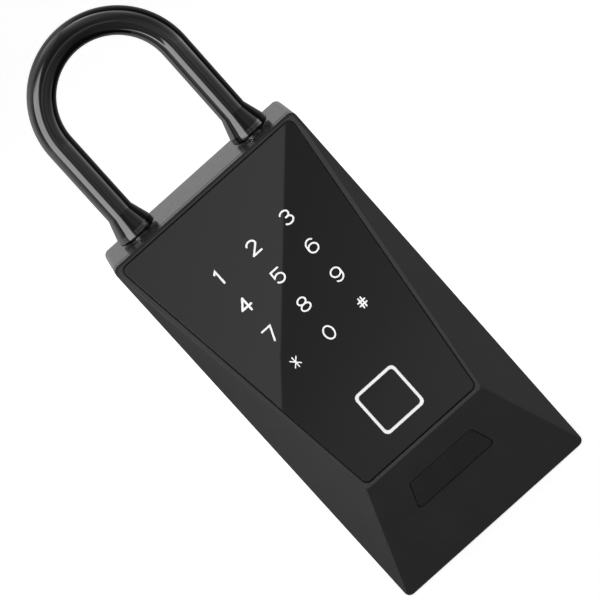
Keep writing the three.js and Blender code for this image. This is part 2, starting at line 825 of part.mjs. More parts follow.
// The faceted front cover, hollow behind, with the hinge barrel along its bottom edge
function frontCover() {
  const outline = rounded(rectangle([-halfWidth, halfWidth], [0, caseHeight]), cornerRadius);
  const far = apexDepth + overrun;
  const outside = solid(extrudeForward(outline, [coverBack, far], 0, outlineSteps)).intersect(roof(0));
  const room = rectangle([coverWall - halfWidth, halfWidth - coverWall], [coverWall, caseHeight - coverWall]);
  const core = solid(extrudeForward(rounded(room, cornerRadius), [coverBack - overrun, far]));
  const hollow = core.intersect(roof(roofWall));
  const bosses = doorScrewPlaces.map(([x, z]) => rodAlongDepth(doorBossRadius, x, [coverBack, far], z));
  const barrel = rodAlongX(barrelRadius, [-halfWidth, halfWidth], hingeDepth, hingeHeight);
  const shell = outside.subtract(hollow).add(joined(bosses).intersect(outside)).add(solid(barrel));
  const ledge = glassThickness + gasketThickness + 2 * gasketGap;
  const portSeat = rounded(inset(portOutline(), -fit), portCorner);
  const holes = [
    extrudeOnFace(glassShape(-seamGap), [-ledge, overrun]).applyMatrix4(faceFrame),
    extrudeOnFace(glassShape(ledgeWidth), [-roofWall - overrun / 2, overrun]).applyMatrix4(faceFrame),
    extrudeOnFace(portSeat, [-flapThickness - seat, overrun]).applyMatrix4(facetFrame),
    extrudeOnFace(socketShape(-fit), [-roofWall - fit, overrun]).applyMatrix4(facetFrame),
    rodAlongX(pinRadius + seat, [-caseWidth, caseWidth], hingeDepth, hingeHeight),
  ];
  for (const [, side] of sides) {
    const x = (side * lugSpacing) / 2;
    const reach = lugWidth / 2 + fit;
    holes.push(rodAlongX(barrelRadius + fit, [x - reach, x + reach], hingeDepth, hingeHeight));
  }
  const screwHole = [coverBack - fit, coverBack + doorScrewBite + seat];
  for (const [x, z] of doorScrewPlaces) {
    holes.push(rodAlongDepth(doorScrewRadius + seat, x, screwHole, z));
  }
  return piece("front_cover", cut(shell, holes), "coverBlack");
}

// Pieces on the glass face, in its frame
function touchPanel() {
  const sheet = solid(extrudeOnFace(glassShape(0), [-glassThickness, 0]));
  const window = extrudeOnFace(sensorShape(-ringGap), [-overrun, overrun]);
  return piece("touch_panel", cut(sheet, [window]), "glass");
}

function panelGasket() {
  const under = -glassThickness - gasketGap - gasketThickness;
  const sheet = solid(extrudeOnFace(glassShape(0), [under, under + gasketThickness]));
  const hole = extrudeOnFace(glassShape(ledgeWidth), [-overrun, overrun]);
  return piece("panel_gasket", cut(sheet, [hole]), "rubber");
}

function touchBoard() {
  const over = -glassThickness - seat;
  const sheet = solid(extrudeOnFace(glassShape(ledgeWidth + fit), [over - touchBoardThickness, over]));
  const hole = extrudeOnFace(sensorModuleShape(fit), [-overrun, overrun]);
  return piece("touch_board", cut(sheet, [hole]), "board");
}

function sensorPieces() {
  const ring = solid(extrudeOnFace(sensorShape(0), [-glassThickness, 0]));
  const hole = extrudeOnFace(sensorShape(ringStroke), [-overrun, overrun]);
  const pad = extrudeOnFace(sensorShape(ringStroke + ringGap), [-glassThickness, 0]);
  const under = -glassThickness - seat;
  const module = extrudeOnFace(sensorModuleShape(0), [under - sensorModuleThickness, under]);
  return [
    piece("sensor_ring", cut(ring, [hole]), "lightRing"),
    piece("sensor_pad", pad, "sensorBlack"),
    piece("sensor_module", module, "board"),
  ];
}

// Pieces on the bottom facet, in its frame
function portCover() {
  const flap = solid(extrudeOnFace(rounded(portOutline(), portCorner), [-flapThickness, 0]));
  const bevel = new THREE.BoxGeometry(caseWidth, 2 * overrun, 2 * overrun);
  bevel.rotateX(Math.PI / 4).translate(0, portLow - Math.SQRT2 * overrun, 0);
  return piece("port_cover", cut(flap, [bevel]), "rubber");
}

function chargeSocket() {
  const over = -flapThickness - seat - seat;
  const shell = solid(extrudeOnFace(socketShape(0), [over - socketDepth, over]));
  const mouth = extrudeOnFace(socketShape(socketWall), [over - socketDepth + socketFloor, overrun]);
  const centre = portLow + portHeight / 2;
  const tongue = new THREE.BoxGeometry(tongueWidth, tongueThickness, tongueLength + socketFloor / 2);
  tongue.translate(0, centre, over - socketDepth + socketFloor / 2 + (tongueLength + socketFloor / 2) / 2);
  return piece("charge_socket", cut(shell, [mouth]).add(solid(tongue)), "steel");
}

function portBoard() {
  const over = -flapThickness - seat - seat - socketDepth - seat;
  const centre = portLow + portHeight / 2;
  const board = new THREE.BoxGeometry(portBoardWidth, portBoardHeight, portBoardThickness);
  return piece("port_board", board.translate(0, centre, over - portBoardThickness / 2), "board");
}

// Inner cover: the plate behind the door with the battery tray, the latch pocket and its guides
function innerCover() {
  const plateOutline = rectangle(
    [plateInset - sealHalf, sealHalf - plateInset],
    [sealBottom + plateInset, sealTop - plateInset],
  );
  const pocketAcross = [-pocketLeft, pocketRight];
  const body = joined([
    extrudeForward(rounded(plateOutline, sealCorner), [innerBack, innerFront]),
    block([-trayHalf, trayHalf], [trayBack, trayFloor + trayFrontWall], [trayBottom, trayTop]),
    block(pocketAcross, [pocketBack, innerFront], [pocketBottom, pocketTop]),
  ]);
  const lip = batteryCoverLip + seat;
  const spaces = [
    block([-trayInnerHalf, trayInnerHalf], [trayBack - overrun, trayFloor], [trayInnerBottom, trayInnerTop]),
    block(
      [-trayInnerHalf - lip, trayInnerHalf + lip],
      [trayBack - overrun, trayBack + batteryCoverThickness + seat],
      [trayInnerBottom - lip / 2, trayInnerTop + lip / 2],
    ),
    block(
      [pocketWall - pocketLeft, pocketRight - pocketWall],
      [pocketInside, innerFront + overrun],
      [pocketBottom + pocketWall, pocketTop - pocketWall],
    ),
  ];
  for (const [x, z] of doorScrewPlaces) {
    spaces.push(rodAlongDepth(doorScrewRadius + seat, x, [innerBack - fit, innerFront + fit], z));
  }
  const inside = body.subtract(joined(spaces));
  const fittings = [
    boltGuide(pocketBottom + pocketWall / 2, guideHeightLow),
    boltGuide(pocketTop - guideHeightHigh - pocketWall / 2, guideHeightHigh),
    block(
      [-boltHalf - fit - guideWall, -boltHalf - fit],
      [pocketInside - fit, pinionDepth + bearingHeight / 2],
      [pinionHeight - bearingHeight / 2, pinionHeight + bearingHeight / 2],
    ),
  ];
  for (const share of cradleShares) {
    const x = boltHalf + fit + gearboxLength + motorLength * share;
    fittings.push(
      block(
        [x - cradleWidth / 2, x + cradleWidth / 2],
        [pocketInside - fit, pinionDepth - motorDepth / 2 - seat],
        [pinionHeight - motorHeight / 2, pinionHeight + motorHeight / 2],
      ),
    );
  }
  const channel = [
    block(
      [-boltHalf - fit, boltHalf + fit],
      [pocketInside, boltFront + fit],
      [pocketBottom + pocketWall, pocketTop + fit],
    ),
    rodAlongX(shaftRadius + seat, [-pocketLeft + pocketWall / 2, 0], pinionDepth, pinionHeight, smallSides),
  ];
  return piece("inner_cover", cut(inside.add(joined(fittings)), channel), "innerPlastic");
}

// A block across the latch pocket that the bolt's channel runs through.
function boltGuide(bottom, height) {
  const half = boltHalf + fit + guideWall;
  return block([-half, half], [pocketInside - fit, boltFront + fit + guideWall], [bottom, bottom + height]);
}

function doorSeal() {
  const outer = rectangle([-sealHalf, sealHalf], [sealBottom, sealTop]);
  const depths = [innerFront - sealThickness, innerFront];
  const ring = solid(extrudeForward(rounded(outer, sealCorner), depths));
  const hole = rounded(inset(outer, sealWidth), sealCorner - seat);
  return piece("door_seal", cut(ring, [extrudeForward(hole, [depths[0] - fit, depths[1] + fit])]), "rubber");
}

function doorScrews() {
  return doorScrewPlaces.map(([x, z], i) => {
    const back = innerBack - seat;
    const head = rodAlongDepth(doorScrewHead, x, [back - doorScrewHeadHeight, back], z);
    const shank = rodAlongDepth(doorScrewRadius, x, [back - seat, coverBack + doorScrewBite - seat], z);
    return piece("door_screw_" + (i + 1), joined([head, shank]), "steel");
  });
}

// Batteries
function batteryCells() {
  const bottom = trayInnerBottom + trayEndRoom;
  const body = cellLength - cellNub;
  const profile = [
    [0, -cellLength / 2],
    [cellRadius, -cellLength / 2],
    [cellRadius, body - cellLength / 2],
    [cellNubRadius, body - cellLength / 2],
    [cellNubRadius, cellLength / 2],
    [0, cellLength / 2],
  ];
  return Array.from({ length: cellCount }, (_, i) => {
    const cell = piece("battery_cell_" + (i + 1), turned(profile, 0, 0), "cell");
    cell.position.set((i - (cellCount - 1) / 2) * cellPitch, -cellDepth, bottom + cellLength / 2);
    cell.rotation.x = i % 2 ? Math.PI : 0;
    return cell;
  });
}

// Contact strips at the two ends of the tray, each with a bump towards every cell.
function batteryContacts() {
  const half = trayInnerHalf - seat;
  const bump = trayEndRoom - seat - contactThickness - seat;
  const strip = new THREE.BoxGeometry(2 * half, contactWidth, contactThickness);
  const bumps = Array.from({ length: cellCount }, (_, i) => {
    const cone = new THREE.CylinderGeometry(contactBumpTipRadius, contactBumpRadius, bump + seat, smallSides);
    const x = (i - (cellCount - 1) / 2) * cellPitch;
    return cone.rotateX(Math.PI / 2).translate(x, 0, (contactThickness + bump - seat) / 2);
  });
  const plate = geometryOf(joined([strip, ...bumps]));
  const low = piece("contacts_low", plate, "spring");
  const high = piece("contacts_high", plate.clone(), "spring");
  low.position.set(0, -cellDepth, trayInnerBottom + seat + contactThickness / 2);
  high.position.set(0, -cellDepth, trayInnerTop - seat - contactThickness / 2);
  high.rotation.x = Math.PI;
  return [low, high];
}

function batteryCover() {
  const half = trayInnerHalf + batteryCoverLip;
  const rise = batteryCoverLip / 2;
  const depths = [trayBack, trayBack + batteryCoverThickness];
  const heights = [trayInnerBottom - rise, trayInnerTop + rise];
  const lid = solid(block([-half, half], depths, heights));
  const gripTop = heights[1] - coverGripHeight;
  const gripBox = rectangle([-coverGripWidth / 2, coverGripWidth / 2], [gripTop - coverGripHeight, gripTop]);
  const gripDepths = [trayBack - fit, trayBack + coverGripDepth];
  const grip = extrudeForward(rounded(gripBox, coverGripCorner), gripDepths);
  return piece("battery_cover", cut(lid, [grip]), "innerPlastic");
}

// Latch bolt with rack teeth on its front face
function latchBolt() {
  const across = [-boltHalf, boltHalf];
  const back = solid(block(across, [boltBack, rackRoot], [boltBottom, boltTop]));
  const rackTop = pinionHeight + (rackTeeth / 2 - 1) * toothPitch;
  const nose = solid(block(across, [boltBack, boltFront], [rackTop, boltTop]));
  const teeth = solid(rackStrip());
  const bevel = new THREE.BoxGeometry(boltWidth + overrun, overrun, overrun);
  bevel.rotateX(Math.PI / 4).translate(0, -boltFront - overrun / Math.SQRT2 + boltTipBevel, boltTop);
  return piece("latch_bolt", cut(back.add(nose).add(teeth), [bevel]), "zinc");
}

// The rack's teeth as one outline of depth and height, extruded across the bolt.
function rackStrip() {
  const slope = Math.tan(pressureAngle);
  const pitchHalf = (toothPitch - backlash) / 4;
  const tipHalf = pitchHalf - rackAddendum * slope;
  const rootHalf = pitchHalf + rackDedendum * slope;
  const first = pinionHeight - (rackTeeth / 2) * toothPitch;
  const points = [new THREE.Vector2(-boltBack, first - rootHalf)];
  for (let i = 0; i < rackTeeth; i++) {
    const centre = first + i * toothPitch;
    points.push(new THREE.Vector2(-rackRoot, centre - rootHalf));
    points.push(new THREE.Vector2(-boltFront, centre - tipHalf));
    points.push(new THREE.Vector2(-boltFront, centre + tipHalf));
    points.push(new THREE.Vector2(-rackRoot, centre + rootHalf));
  }
  points.push(new THREE.Vector2(-boltBack, points.at(-1).y));
  return extrudeAcross(new THREE.Shape(points.reverse()), boltWidth);
}

// A shape of y and height, extruded along X and centred on x = 0.
function extrudeAcross(shape, width) {
  const strip = new THREE.ExtrudeGeometry(shape, { depth: width, bevelEnabled: false });
  const toCase = new THREE.Matrix4().makeBasis(
    new THREE.Vector3(0, 1, 0),
    new THREE.Vector3(0, 0, 1),
    new THREE.Vector3(1, 0, 0),
  );
  return strip.translate(0, 0, -width / 2).applyMatrix4(toCase);
}

// The pinion, with involute flanks and a gap of its teeth turned to the rack.
function drivePinion() {
  const baseRadius = pitchRadius * Math.cos(pressureAngle);
  const tipRadius = pitchRadius + gearModule;
  const rootRadius = pitchRadius - rootShare * gearModule;
  const involute = (radius) => {
    const angle = Math.acos(Math.min(baseRadius / radius, 1));
    return Math.tan(angle) - angle;
  };
  const halfTooth = (toothPitch - backlash) / 4 / pitchRadius + involute(pitchRadius);
  const points = [];
  for (let tooth = 0; tooth < pinionTeeth; tooth++) {
    const middle = ((tooth + 0.5) * 2 * Math.PI) / pinionTeeth;
    const flank = [[rootRadius, halfTooth]];
    for (let step = 0; step <= flankSteps; step++) {
      const radius = baseRadius + ((tipRadius - baseRadius) * step) / flankSteps;
      flank.push([radius, halfTooth - involute(radius)]);
    }
    const rising = flank.map(([radius, half]) => [radius, middle - half]);
    const falling = flank.map(([radius, half]) => [radius, middle + half]).reverse();
    for (const [radius, angle] of [...rising, ...falling]) {
      points.push(new THREE.Vector2(radius * Math.cos(angle), radius * Math.sin(angle)));
    }
  }
  const wheel = solid(extrudeAcross(new THREE.Shape(points), pinionWidth));
  const bore = rodAlongX(shaftRadius + seat, [-pinionWidth, pinionWidth], 0, 0, smallSides);
  const pinion = piece("drive_pinion", cut(wheel, [bore]), "brass");
  pinion.position.set(0, -pinionDepth, pinionHeight);
  return pinion;
}

// Gearmotor: gearbox, motor can with flat sides, tail bearing and the shaft that carries the pinion
function gearmotor() {
  const start = boltHalf + fit;
  const gearboxEnd = start + gearboxLength;
  const deep = [pinionDepth - motorDepth / 2, pinionDepth + motorDepth / 2];
  const tall = [pinionHeight - motorHeight / 2, pinionHeight + motorHeight / 2];
  const gearbox = block([start, gearboxEnd], deep, tall);
  const can = solid(rodAlongX(motorHeight / 2, [gearboxEnd - seat, motorEnd], pinionDepth, pinionHeight));
  const flats = solid(block([gearboxEnd - seat, motorEnd], deep, [tall[0] - fit, tall[1] + fit]));
  const shaftEnds = [-boltHalf - fit - guideWall + seat, start + seat];
  const tailEnds = [motorEnd - seat, motorEnd + motorTail];
  const body = joined([
    gearbox,
    rodAlongX(shaftRadius, shaftEnds, pinionDepth, pinionHeight, smallSides),
    rodAlongX(motorTailRadius, tailEnds, pinionDepth, pinionHeight, smallSides),
  ]);
  return piece("gearmotor", body.add(can.intersect(flats)), "steel");
}

function latchCover() {
  const rear = innerFront + seat;
  const across = [pocketWall / 2 - pocketLeft, pocketRight - pocketWall / 2];
  const heights = [pocketBottom + pocketWall / 2, pocketTop - pocketWall / 2];
  return piece("latch_cover", block(across, [rear, rear + latchCoverThickness], heights), "steel");
}

function mainBoard() {
  const half = mainBoardWidth / 2;
  const bottom = pocketBottom + pocketWall / 2;
  const front = mainBoardBack + mainBoardThickness;
  const middle = bottom + mainBoardHeight / 2;
  const chipReach = chipSize / 2;
  const board = block([-half, half], [mainBoardBack, front], [bottom, bottom + mainBoardHeight]);
  const chip = block(
    [-chipReach, chipReach],
    [front - seat, front + chipThickness],
    [middle - chipReach, middle + chipReach],
  );
  return piece("main_board", joined([board, chip]), "board");
}

function buzzer() {
  const rear = innerFront + seat;
  const depths = [rear, rear + buzzerHeight];
  const can = rodAlongDepth(buzzerRadius, buzzerInset - halfWidth, depths, buzzerHeightAt, roundSides);
  return piece("buzzer", can, "sensorBlack");
}

const onFace = group(touchPanel(), panelGasket(), touchBoard(), ...sensorPieces());
onFace.applyMatrix4(faceFrame);

const onFacet = group(portCover(), chargeSocket(), portBoard());
onFacet.applyMatrix4(facetFrame);

const housing = group(
  rearHousing(),
  lockDeck(),
  ...deckScrews(),
  ...guideScrews(),
  hingePin(),
  ...shackleSeals(),
  backPad(),
  compartmentLiner(),
);
const shackle = group(shackleBar(), shackleSleeve());
const shackleLock = group(lockPlate(), releaseKnob());
const latch = group(latchBolt(), drivePinion(), gearmotor(), latchCover());
const batteries = group(...batteryCells(), ...batteryContacts(), batteryCover());
const door = group(
  frontCover(),
  onFace,
  onFacet,
  innerCover(),
  doorSeal(),
  ...doorScrews(),
  latch,
  batteries,
  mainBoard(),
  buzzer(),
);

const keySafe = new THREE.Group().add(housing, shackle, shackleLock, door);
keySafe.position.y = apexDepth / 2;

export default keySafe;
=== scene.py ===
import json
import math

import bmesh
import bpy
import numpy as np
from mathutils import Matrix, Vector

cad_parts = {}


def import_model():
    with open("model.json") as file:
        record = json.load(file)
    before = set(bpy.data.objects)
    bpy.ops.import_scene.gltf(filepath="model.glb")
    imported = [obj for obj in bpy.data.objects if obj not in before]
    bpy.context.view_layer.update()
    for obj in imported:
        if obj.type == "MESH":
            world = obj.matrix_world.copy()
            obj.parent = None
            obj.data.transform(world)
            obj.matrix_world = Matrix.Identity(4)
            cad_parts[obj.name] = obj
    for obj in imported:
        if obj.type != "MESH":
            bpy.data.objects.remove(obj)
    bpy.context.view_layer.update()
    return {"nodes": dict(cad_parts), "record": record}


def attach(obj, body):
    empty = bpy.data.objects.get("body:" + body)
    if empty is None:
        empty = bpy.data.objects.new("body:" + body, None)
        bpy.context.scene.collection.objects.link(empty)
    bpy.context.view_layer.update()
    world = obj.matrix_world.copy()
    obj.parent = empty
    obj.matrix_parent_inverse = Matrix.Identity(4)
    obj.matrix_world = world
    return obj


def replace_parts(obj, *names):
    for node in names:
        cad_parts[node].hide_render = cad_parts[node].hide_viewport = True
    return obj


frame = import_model()
nodes = frame["nodes"]

# Sizes are in millimetres. A depth runs forward from the back plane of the case, a height up from its base.
MM = 0.001
MERGE = 0.002  # points closer than this are one
TINY = 1e-9  # keeps a division off zero
OVERRUN = 5.0  # how far a cut runs past what it cuts
FREE_GAP = 0.3  # round what moves or passes through
SEAT_GAP = 0.2  # round what rests in its seat
LEAST_CORNER = 0.3
SHARP = 35  # degrees; an edge that bends by more is sharp
STEPS = dict(per_corner=13, per_side=14)  # points of the case's outlines
CUT, JOIN = "DIFFERENCE", "UNION"

# Case: a box whose front rises to two apexes near the bottom
CASE_WIDTH, CASE_HEIGHT, CASE_CORNER = 72.0, 137.0, 2.1
EDGE_DEPTH = 35.25
APEX_RISE, APEX_HEIGHT, APEX_HALF = 8.05, 36.5, 23.2
FRONT_ROUND, PARTING_ROUND, BACK_ROUND = 0.27, 0.22, 1.0  # the parting is where door and housing meet

HALF_WIDTH = CASE_WIDTH / 2
APEX_DEPTH = EDGE_DEPTH + APEX_RISE
FACE_DROP = CASE_HEIGHT - APEX_HEIGHT
FACE_LENGTH = math.hypot(APEX_RISE, FACE_DROP)
FACE_LEAN = math.atan2(APEX_RISE, FACE_DROP)
FACET_LENGTH = math.hypot(APEX_RISE, APEX_HEIGHT)
FACET_LEAN = math.atan2(APEX_RISE, APEX_HEIGHT)

# Hinge along the bottom edge
HINGE = HINGE_DEPTH, HINGE_HEIGHT = 31.5, 3.4
BARREL_RADIUS, BARREL_ROUND, BARREL_INSET = 3.3, 0.3, 0.05
PIN_RADIUS = 1.25
LUG_SPACING, LUG_WIDTH, LUG_RADIUS, LUG_ROUND = 33.0, 5.0, 3.2, 0.25

# Front cover of the door
COVER_BACK, COVER_WALL, ROOF_WALL = 32.3, 2.7, 2.8
RIDGE_ROUND, RIDGE_CORNER = 0.55, 1.2
RIDGE_STEPS = (0.32, 0.2, 0.1, 0, -0.1, -0.2, -0.32)  # outlines beside the ridge
FACET_SHARES = (0.06, 0.2, 0.4, 0.6, 0.8, 0.94)  # outlines from the ridge towards the edge
FACET_END = 0.1  # share 1 would lie this far inside the edge's round
RIM_MARGIN, FACET_MARGIN = 0.92, 0.62  # least distance from the case's outline, at the rim and at the edge
ROOF_SHARES = (0.8, 0.6, 0.4, 0.2)  # outlines under the roof
ROOF_MARGIN = 0.05
COVER_BOSSES = ((27.0, 13.0, 36.5), (29.0, 90.0, 37.5))  # x, height and the depth of the top
BOSS_RADIUS, SCREW_HOLE, SCREW_REACH, SCREW_START = 2.6, 1.35, 3.2, 0.3

# Glass, its rim and its ledge
RIM_TOP, RIM_BOTTOM, RIM_SIDE_TOP, RIM_SIDE_BOTTOM = 1.7, 1.5, 2.0, 1.4
SEAM, SEAM_ROUND = 0.4, 0.1
GLASS_THICKNESS, GLASS_CORNER, GLASS_ROUND = 1.2, 1.8, 0.08
LEDGE_WIDTH, LEDGE_DEPTH = 2.2, 1.9

# Fingerprint sensor with its light ring
SENSOR_RISE = 14.46
RING_SIZE, RING_STROKE, RING_CORNER, RING_GAP, RING_PROUD, RING_ROUND = 15.7, 0.9, 1.7, 0.1, 0.01, 0.08
RING_HOLE_CORNER = 1.2
PAD_CORNER, PAD_SUNK, PAD_ROUND = 1.1, 0.02, 0.1

# Rubber cover of the charging port, in the bottom facet
PORT_LOW, PORT_HEIGHT, PORT_LOW_HALF = 20.6, 8.5, 15.2
PORT_CORNER, PORT_THICKNESS, PORT_ROUND = 1.1, 1.4, 0.15
SOCKET_HALF, SOCKET_RISE, SOCKET_CORNER, MOUTH_DEPTH = 4.6, 1.7, 1.2, 4.5

# Rear housing
TUB_FRONT, TUB_FLOOR, BOSS_TOP = 32.0, 3.0, 133.3
OPENING, OPENING_CORNER = (-33, 33, 3, 133), 0.6  # left, right, low and high sides
RECESS, RECESS_CORNER, RECESS_DEPTH, RECESS_ROUND = (-28, 28, 8, 129), 4.0, 1.0, 0.25
NOTCH_BACK, NOTCH_FRONT, NOTCH_LOW = 27.8, 40.0, -6.0
WEB_BACK, WEB_LOW, WEB_TOP, ROOT_LOW = 22.0, 2.9, 6.6, 1.5
LEG_BOSS_RADIUS, LEG_BOSS_LOW = 5.6, 125.3
LEG_BORE, LEG_BORE_LOW = 3.8, 125.0
SEAL_BORE, SEAL_DEPTH = 5.2, 1.4
DECK_POSTS = ((26.0, 7.2), (13.0, 26.1))  # x and depth
POST_RADIUS, POST_LOW = 2.9, 122.9
POST_HOLE, POST_HOLE_LOW, POST_HOLE_TOP = 1.4, 122.4, 129.1

# Shackle
LEG_HALF, LEG_DEPTH, ARCH_CENTRE = 22.9, EDGE_DEPTH / 2, 172.6
ARCH_STEPS = 72
BAR_RADIUS, BAR_BOTTOM, BAR_TIP = 3.4, 118.5, 0.5
BAR_STATIONS, BAR_LAST = (130.0, 150.0), 0.5  # heights, and how far under the arch the last one is
NECK_LOW, NECK_HIGH, NECK_RADIUS = 122.6, 125.4, 2.2
SLEEVE_RADIUS = 4.5
SLEEVE_STATIONS = (0.25, 1.0, 3.0, 8.0, 14.0)  # above the boot
BOOT_BOTTOM, BOOT_HEIGHT, BOOT_RADIUS, BOOT_ROUND = 137.5, 8.4, 6.5, 0.45
BOOT_RIM, BOOT_RIM_RADIUS = 2.4, 6.4
DRUM_LOW, DRUM_HIGH = 0.3, 0.25  # how far above the round it starts, and how far under the cone it ends

# Figures on the keypad
KEYS = ("1", "2", "3", "4", "5", "6", "7", "8", "9", "star", "0", "hatch")
KEY_TOP, KEY_PITCH, KEY_DROP = 114.21, 13.43, 11.45  # height of the first row, steps across and down
SIGN_RISE = 0.04  # star and hatch sit higher than the number between them
FIGURE_HALF_HEIGHT, FIGURE_HALF_WIDTH = 2.17, 1.57
FIGURE_LOW, FIGURE_HIGH, CROSSING_STEP = 0.004, 0.03, 0.003
STROKE_HALF, LEAST_BEND = 0.285, 0.55
# Widths of the strokes, as shares of the usual one
WEIGHTS = {"1": 1.22, "2": 1.03, "3": 0.92, "4": 1.16, "5": 0.97, "6": 0.88, "7": 1.0, "8": 0.88, "9": 0.86,
           "star": 0.62, "0": 0.9, "hatch": 0.86}


# Places
def in_row(points):
    """Case places (x, depth, height) in metres: depth runs towards -Y from the middle of the case."""
    points = np.asarray(points, float)
    return np.stack([points[..., 0], APEX_DEPTH / 2 - points[..., 1], points[..., 2]], -1) * MM


def on_slope(points, lean, start):
    """Places on a leaning plane (x, distance up it, height over it) as case places: the two are turned by
    the lean about the line at the edge's depth and the start's height."""
    points = np.asarray(points, float)
    sine, cosine = math.sin(lean), math.cos(lean)
    depth = EDGE_DEPTH - points[..., 1] * sine + points[..., 2] * cosine
    return np.stack([points[..., 0], depth, start + points[..., 1] * cosine + points[..., 2] * sine], -1)


def on_face(points):
    """Places on the glass face: the distance runs up from its top edge, so it is negative on the face."""
    return on_slope(points, FACE_LEAN, CASE_HEIGHT)


def on_facet(points):
    """Places on the bottom facet: the distance runs up from its bottom edge."""
    return on_slope(points, -FACET_LEAN, 0.0)


def along_x(points):
    """Places (depth, height, x) as case places."""
    return np.stack([points[..., 2], points[..., 0], points[..., 1]], -1)


def along_z(points):
    """Places (x, depth, height) are case places already."""
    return points


def along_depth(points):
    """Places (x, height, depth) as case places."""
    return np.stack([points[..., 0], points[..., 2], points[..., 1]], -1)


# Meshes
def shade(mesh, sharp):
    """Smooth shading, but for edges that bend by more than the angle in degrees."""
    mesh.polygons.foreach_set("use_smooth", np.ones(len(mesh.polygons), bool))
    mesh.set_sharp_from_angle(angle=math.radians(sharp))


def mesh_piece(name, vertices, faces, sharp=SHARP, tones=None):
    """A piece from vertex and face arrays, with its doubles merged and its faces turned outwards."""
    mesh = bpy.data.meshes.new(name)
    mesh.from_pydata(vertices.tolist(), [], faces)
    if tones is not None:
        mesh.polygons.foreach_set("material_index", tones)
    work = bmesh.new()
    work.from_mesh(mesh)
    bmesh.ops.remove_doubles(work, verts=work.verts, dist=MERGE * MM)
    bmesh.ops.recalc_face_normals(work, faces=work.faces)
    work.to_mesh(mesh)
    work.free()
    shade(mesh, sharp)
    piece = bpy.data.objects.new(name, mesh)
    bpy.context.scene.collection.objects.link(piece)
    return piece


def quads(rings, points, closed):
    """Faces between neighbouring rings: face (i, j) joins points j and j + 1 of rings i and i + 1. The last
    point of a ring joins its first."""
    i, j = np.meshgrid(np.arange(rings if closed else rings - 1), np.arange(points), indexing="ij")
    after_i, after_j = (i + 1) % rings, (j + 1) % points
    corners = [i * points + j, i * points + after_j, after_i * points + after_j, after_i * points + j]
    return np.stack(corners, -1).reshape(-1, 4)


def skin(name, rings, closed=False, sharp=SHARP, toned=()):
    """A surface through a stack of rings, in case places. A ring drawn to one point closes a pole."""
    rings = np.asarray(rings, float)
    count, points = rings.shape[:2]
    faces = quads(count, points, closed)
    tones = np.isin(np.arange(len(faces)) // points, toned).astype(np.int32)
    return mesh_piece(name, in_row(rings).reshape(-1, 3), faces.tolist(), sharp, tones)


def weighted(piece):
    """Flat faces keep their own shading where they meet rounded edges."""
    modifier = piece.modifiers.new("flat_faces", "WEIGHTED_NORMAL")
    modifier.keep_sharp = True
    return piece


def carve(piece, steps):
    """Solids joined to the piece or cut from it, in the order given, with the result kept as its mesh."""
    for operation, solid in steps:
        modifier = piece.modifiers.new(operation.lower(), "BOOLEAN")
        modifier.operation, modifier.solver, modifier.object = operation, "EXACT", solid
    bpy.context.view_layer.update()
    done = bpy.data.meshes.new_from_object(piece.evaluated_get(bpy.context.evaluated_depsgraph_get()))
    piece.modifiers.clear()
    piece.data = done
    for _, solid in steps:
        bpy.data.objects.remove(solid)
    shade(done, SHARP)
    return weighted(piece)


# Outlines
def ways(corners):
    """At each corner of an outline, the unit ways towards the corner before it and the corner after it."""
    before, after = np.roll(corners, 1, 0) - corners, np.roll(corners, -1, 0) - corners
    before /= np.linalg.norm(before, axis=1, keepdims=True)
    after /= np.linalg.norm(after, axis=1, keepdims=True)
    return before, after


def inset(corners, distance):
    """Corners of a convex outline moved inwards so that each edge shifts by the distance."""
    corners = np.asarray(corners, float)
    before, after = ways(corners)
    sine = np.abs(before[:, 0] * after[:, 1] - before[:, 1] * after[:, 0])[:, None]
    return corners + (before + after) * distance / sine


def rounded(corners, radius, per_corner=9, per_side=10):
    """A convex outline with an arc at each corner, centre + radius * (cos t, sin t), and even steps along
    each side."""
    corners = np.asarray(corners, float)
    before, after = ways(corners)
    half = np.arccos(np.clip((before * after).sum(1), -1, 1)) / 2
    middle = before + after
    middle /= np.linalg.norm(middle, axis=1, keepdims=True)
    centre = corners + middle * (radius / np.sin(half))[:, None]
    start = corners + before * (radius / np.tan(half))[:, None] - centre
    turn = (np.pi - 2 * half)[:, None] * np.linspace(0, 1, per_corner)
    t = np.arctan2(start[:, 1], start[:, 0])[:, None] + turn
    arcs = centre[:, None] + radius * np.stack([np.cos(t), np.sin(t)], -1)
    share = np.linspace(0, 1, per_side + 2)[1:-1][None, :, None]
    ends, starts = arcs[:, -1][:, None], np.roll(arcs[:, 0], -1, 0)[:, None]
    return np.concatenate([arcs, ends + (starts - ends) * share], 1).reshape(-1, 2)


def round_off(radius, steps=5):
    """A quarter round as pairs (aside, down), with t from 0 to 90 degrees: radius * (1 - cos t) and
    radius * (1 - sin t)."""
    turn = np.linspace(0, np.pi / 2, steps)
    return [(radius * (1 - math.cos(t)), radius * (1 - math.sin(t))) for t in turn]


def rectangle(left, right, low, high):
    """The four corners, from the lower left one on round by the right."""
    return [(left, low), (right, low), (right, high), (left, high)]


def outline_in(corners, radius, distance=0.0):
    """A rounded outline moved inwards by the distance, with as many points at every distance."""
    return rounded(inset(corners, distance), max(radius - distance, LEAST_CORNER), **STEPS)


def case_outline(distance=0.0):
    """The case seen from the front, moved inwards by the distance."""
    return outline_in(rectangle(-HALF_WIDTH, HALF_WIDTH, 0, CASE_HEIGHT), CASE_CORNER, distance)


def glass_corners():
    """The glass is a trapezoid whose sides follow the leaning edges of the face."""
    top, low = -RIM_TOP, RIM_BOTTOM - FACE_LENGTH
    top_half, low_half = (HALF_WIDTH + (APEX_HALF - HALF_WIDTH) * -y / FACE_LENGTH for y in (top, low))
    top_half -= RIM_SIDE_TOP
    low_half -= RIM_SIDE_BOTTOM
    return [(-low_half, low), (low_half, low), (top_half, top), (-top_half, top)]


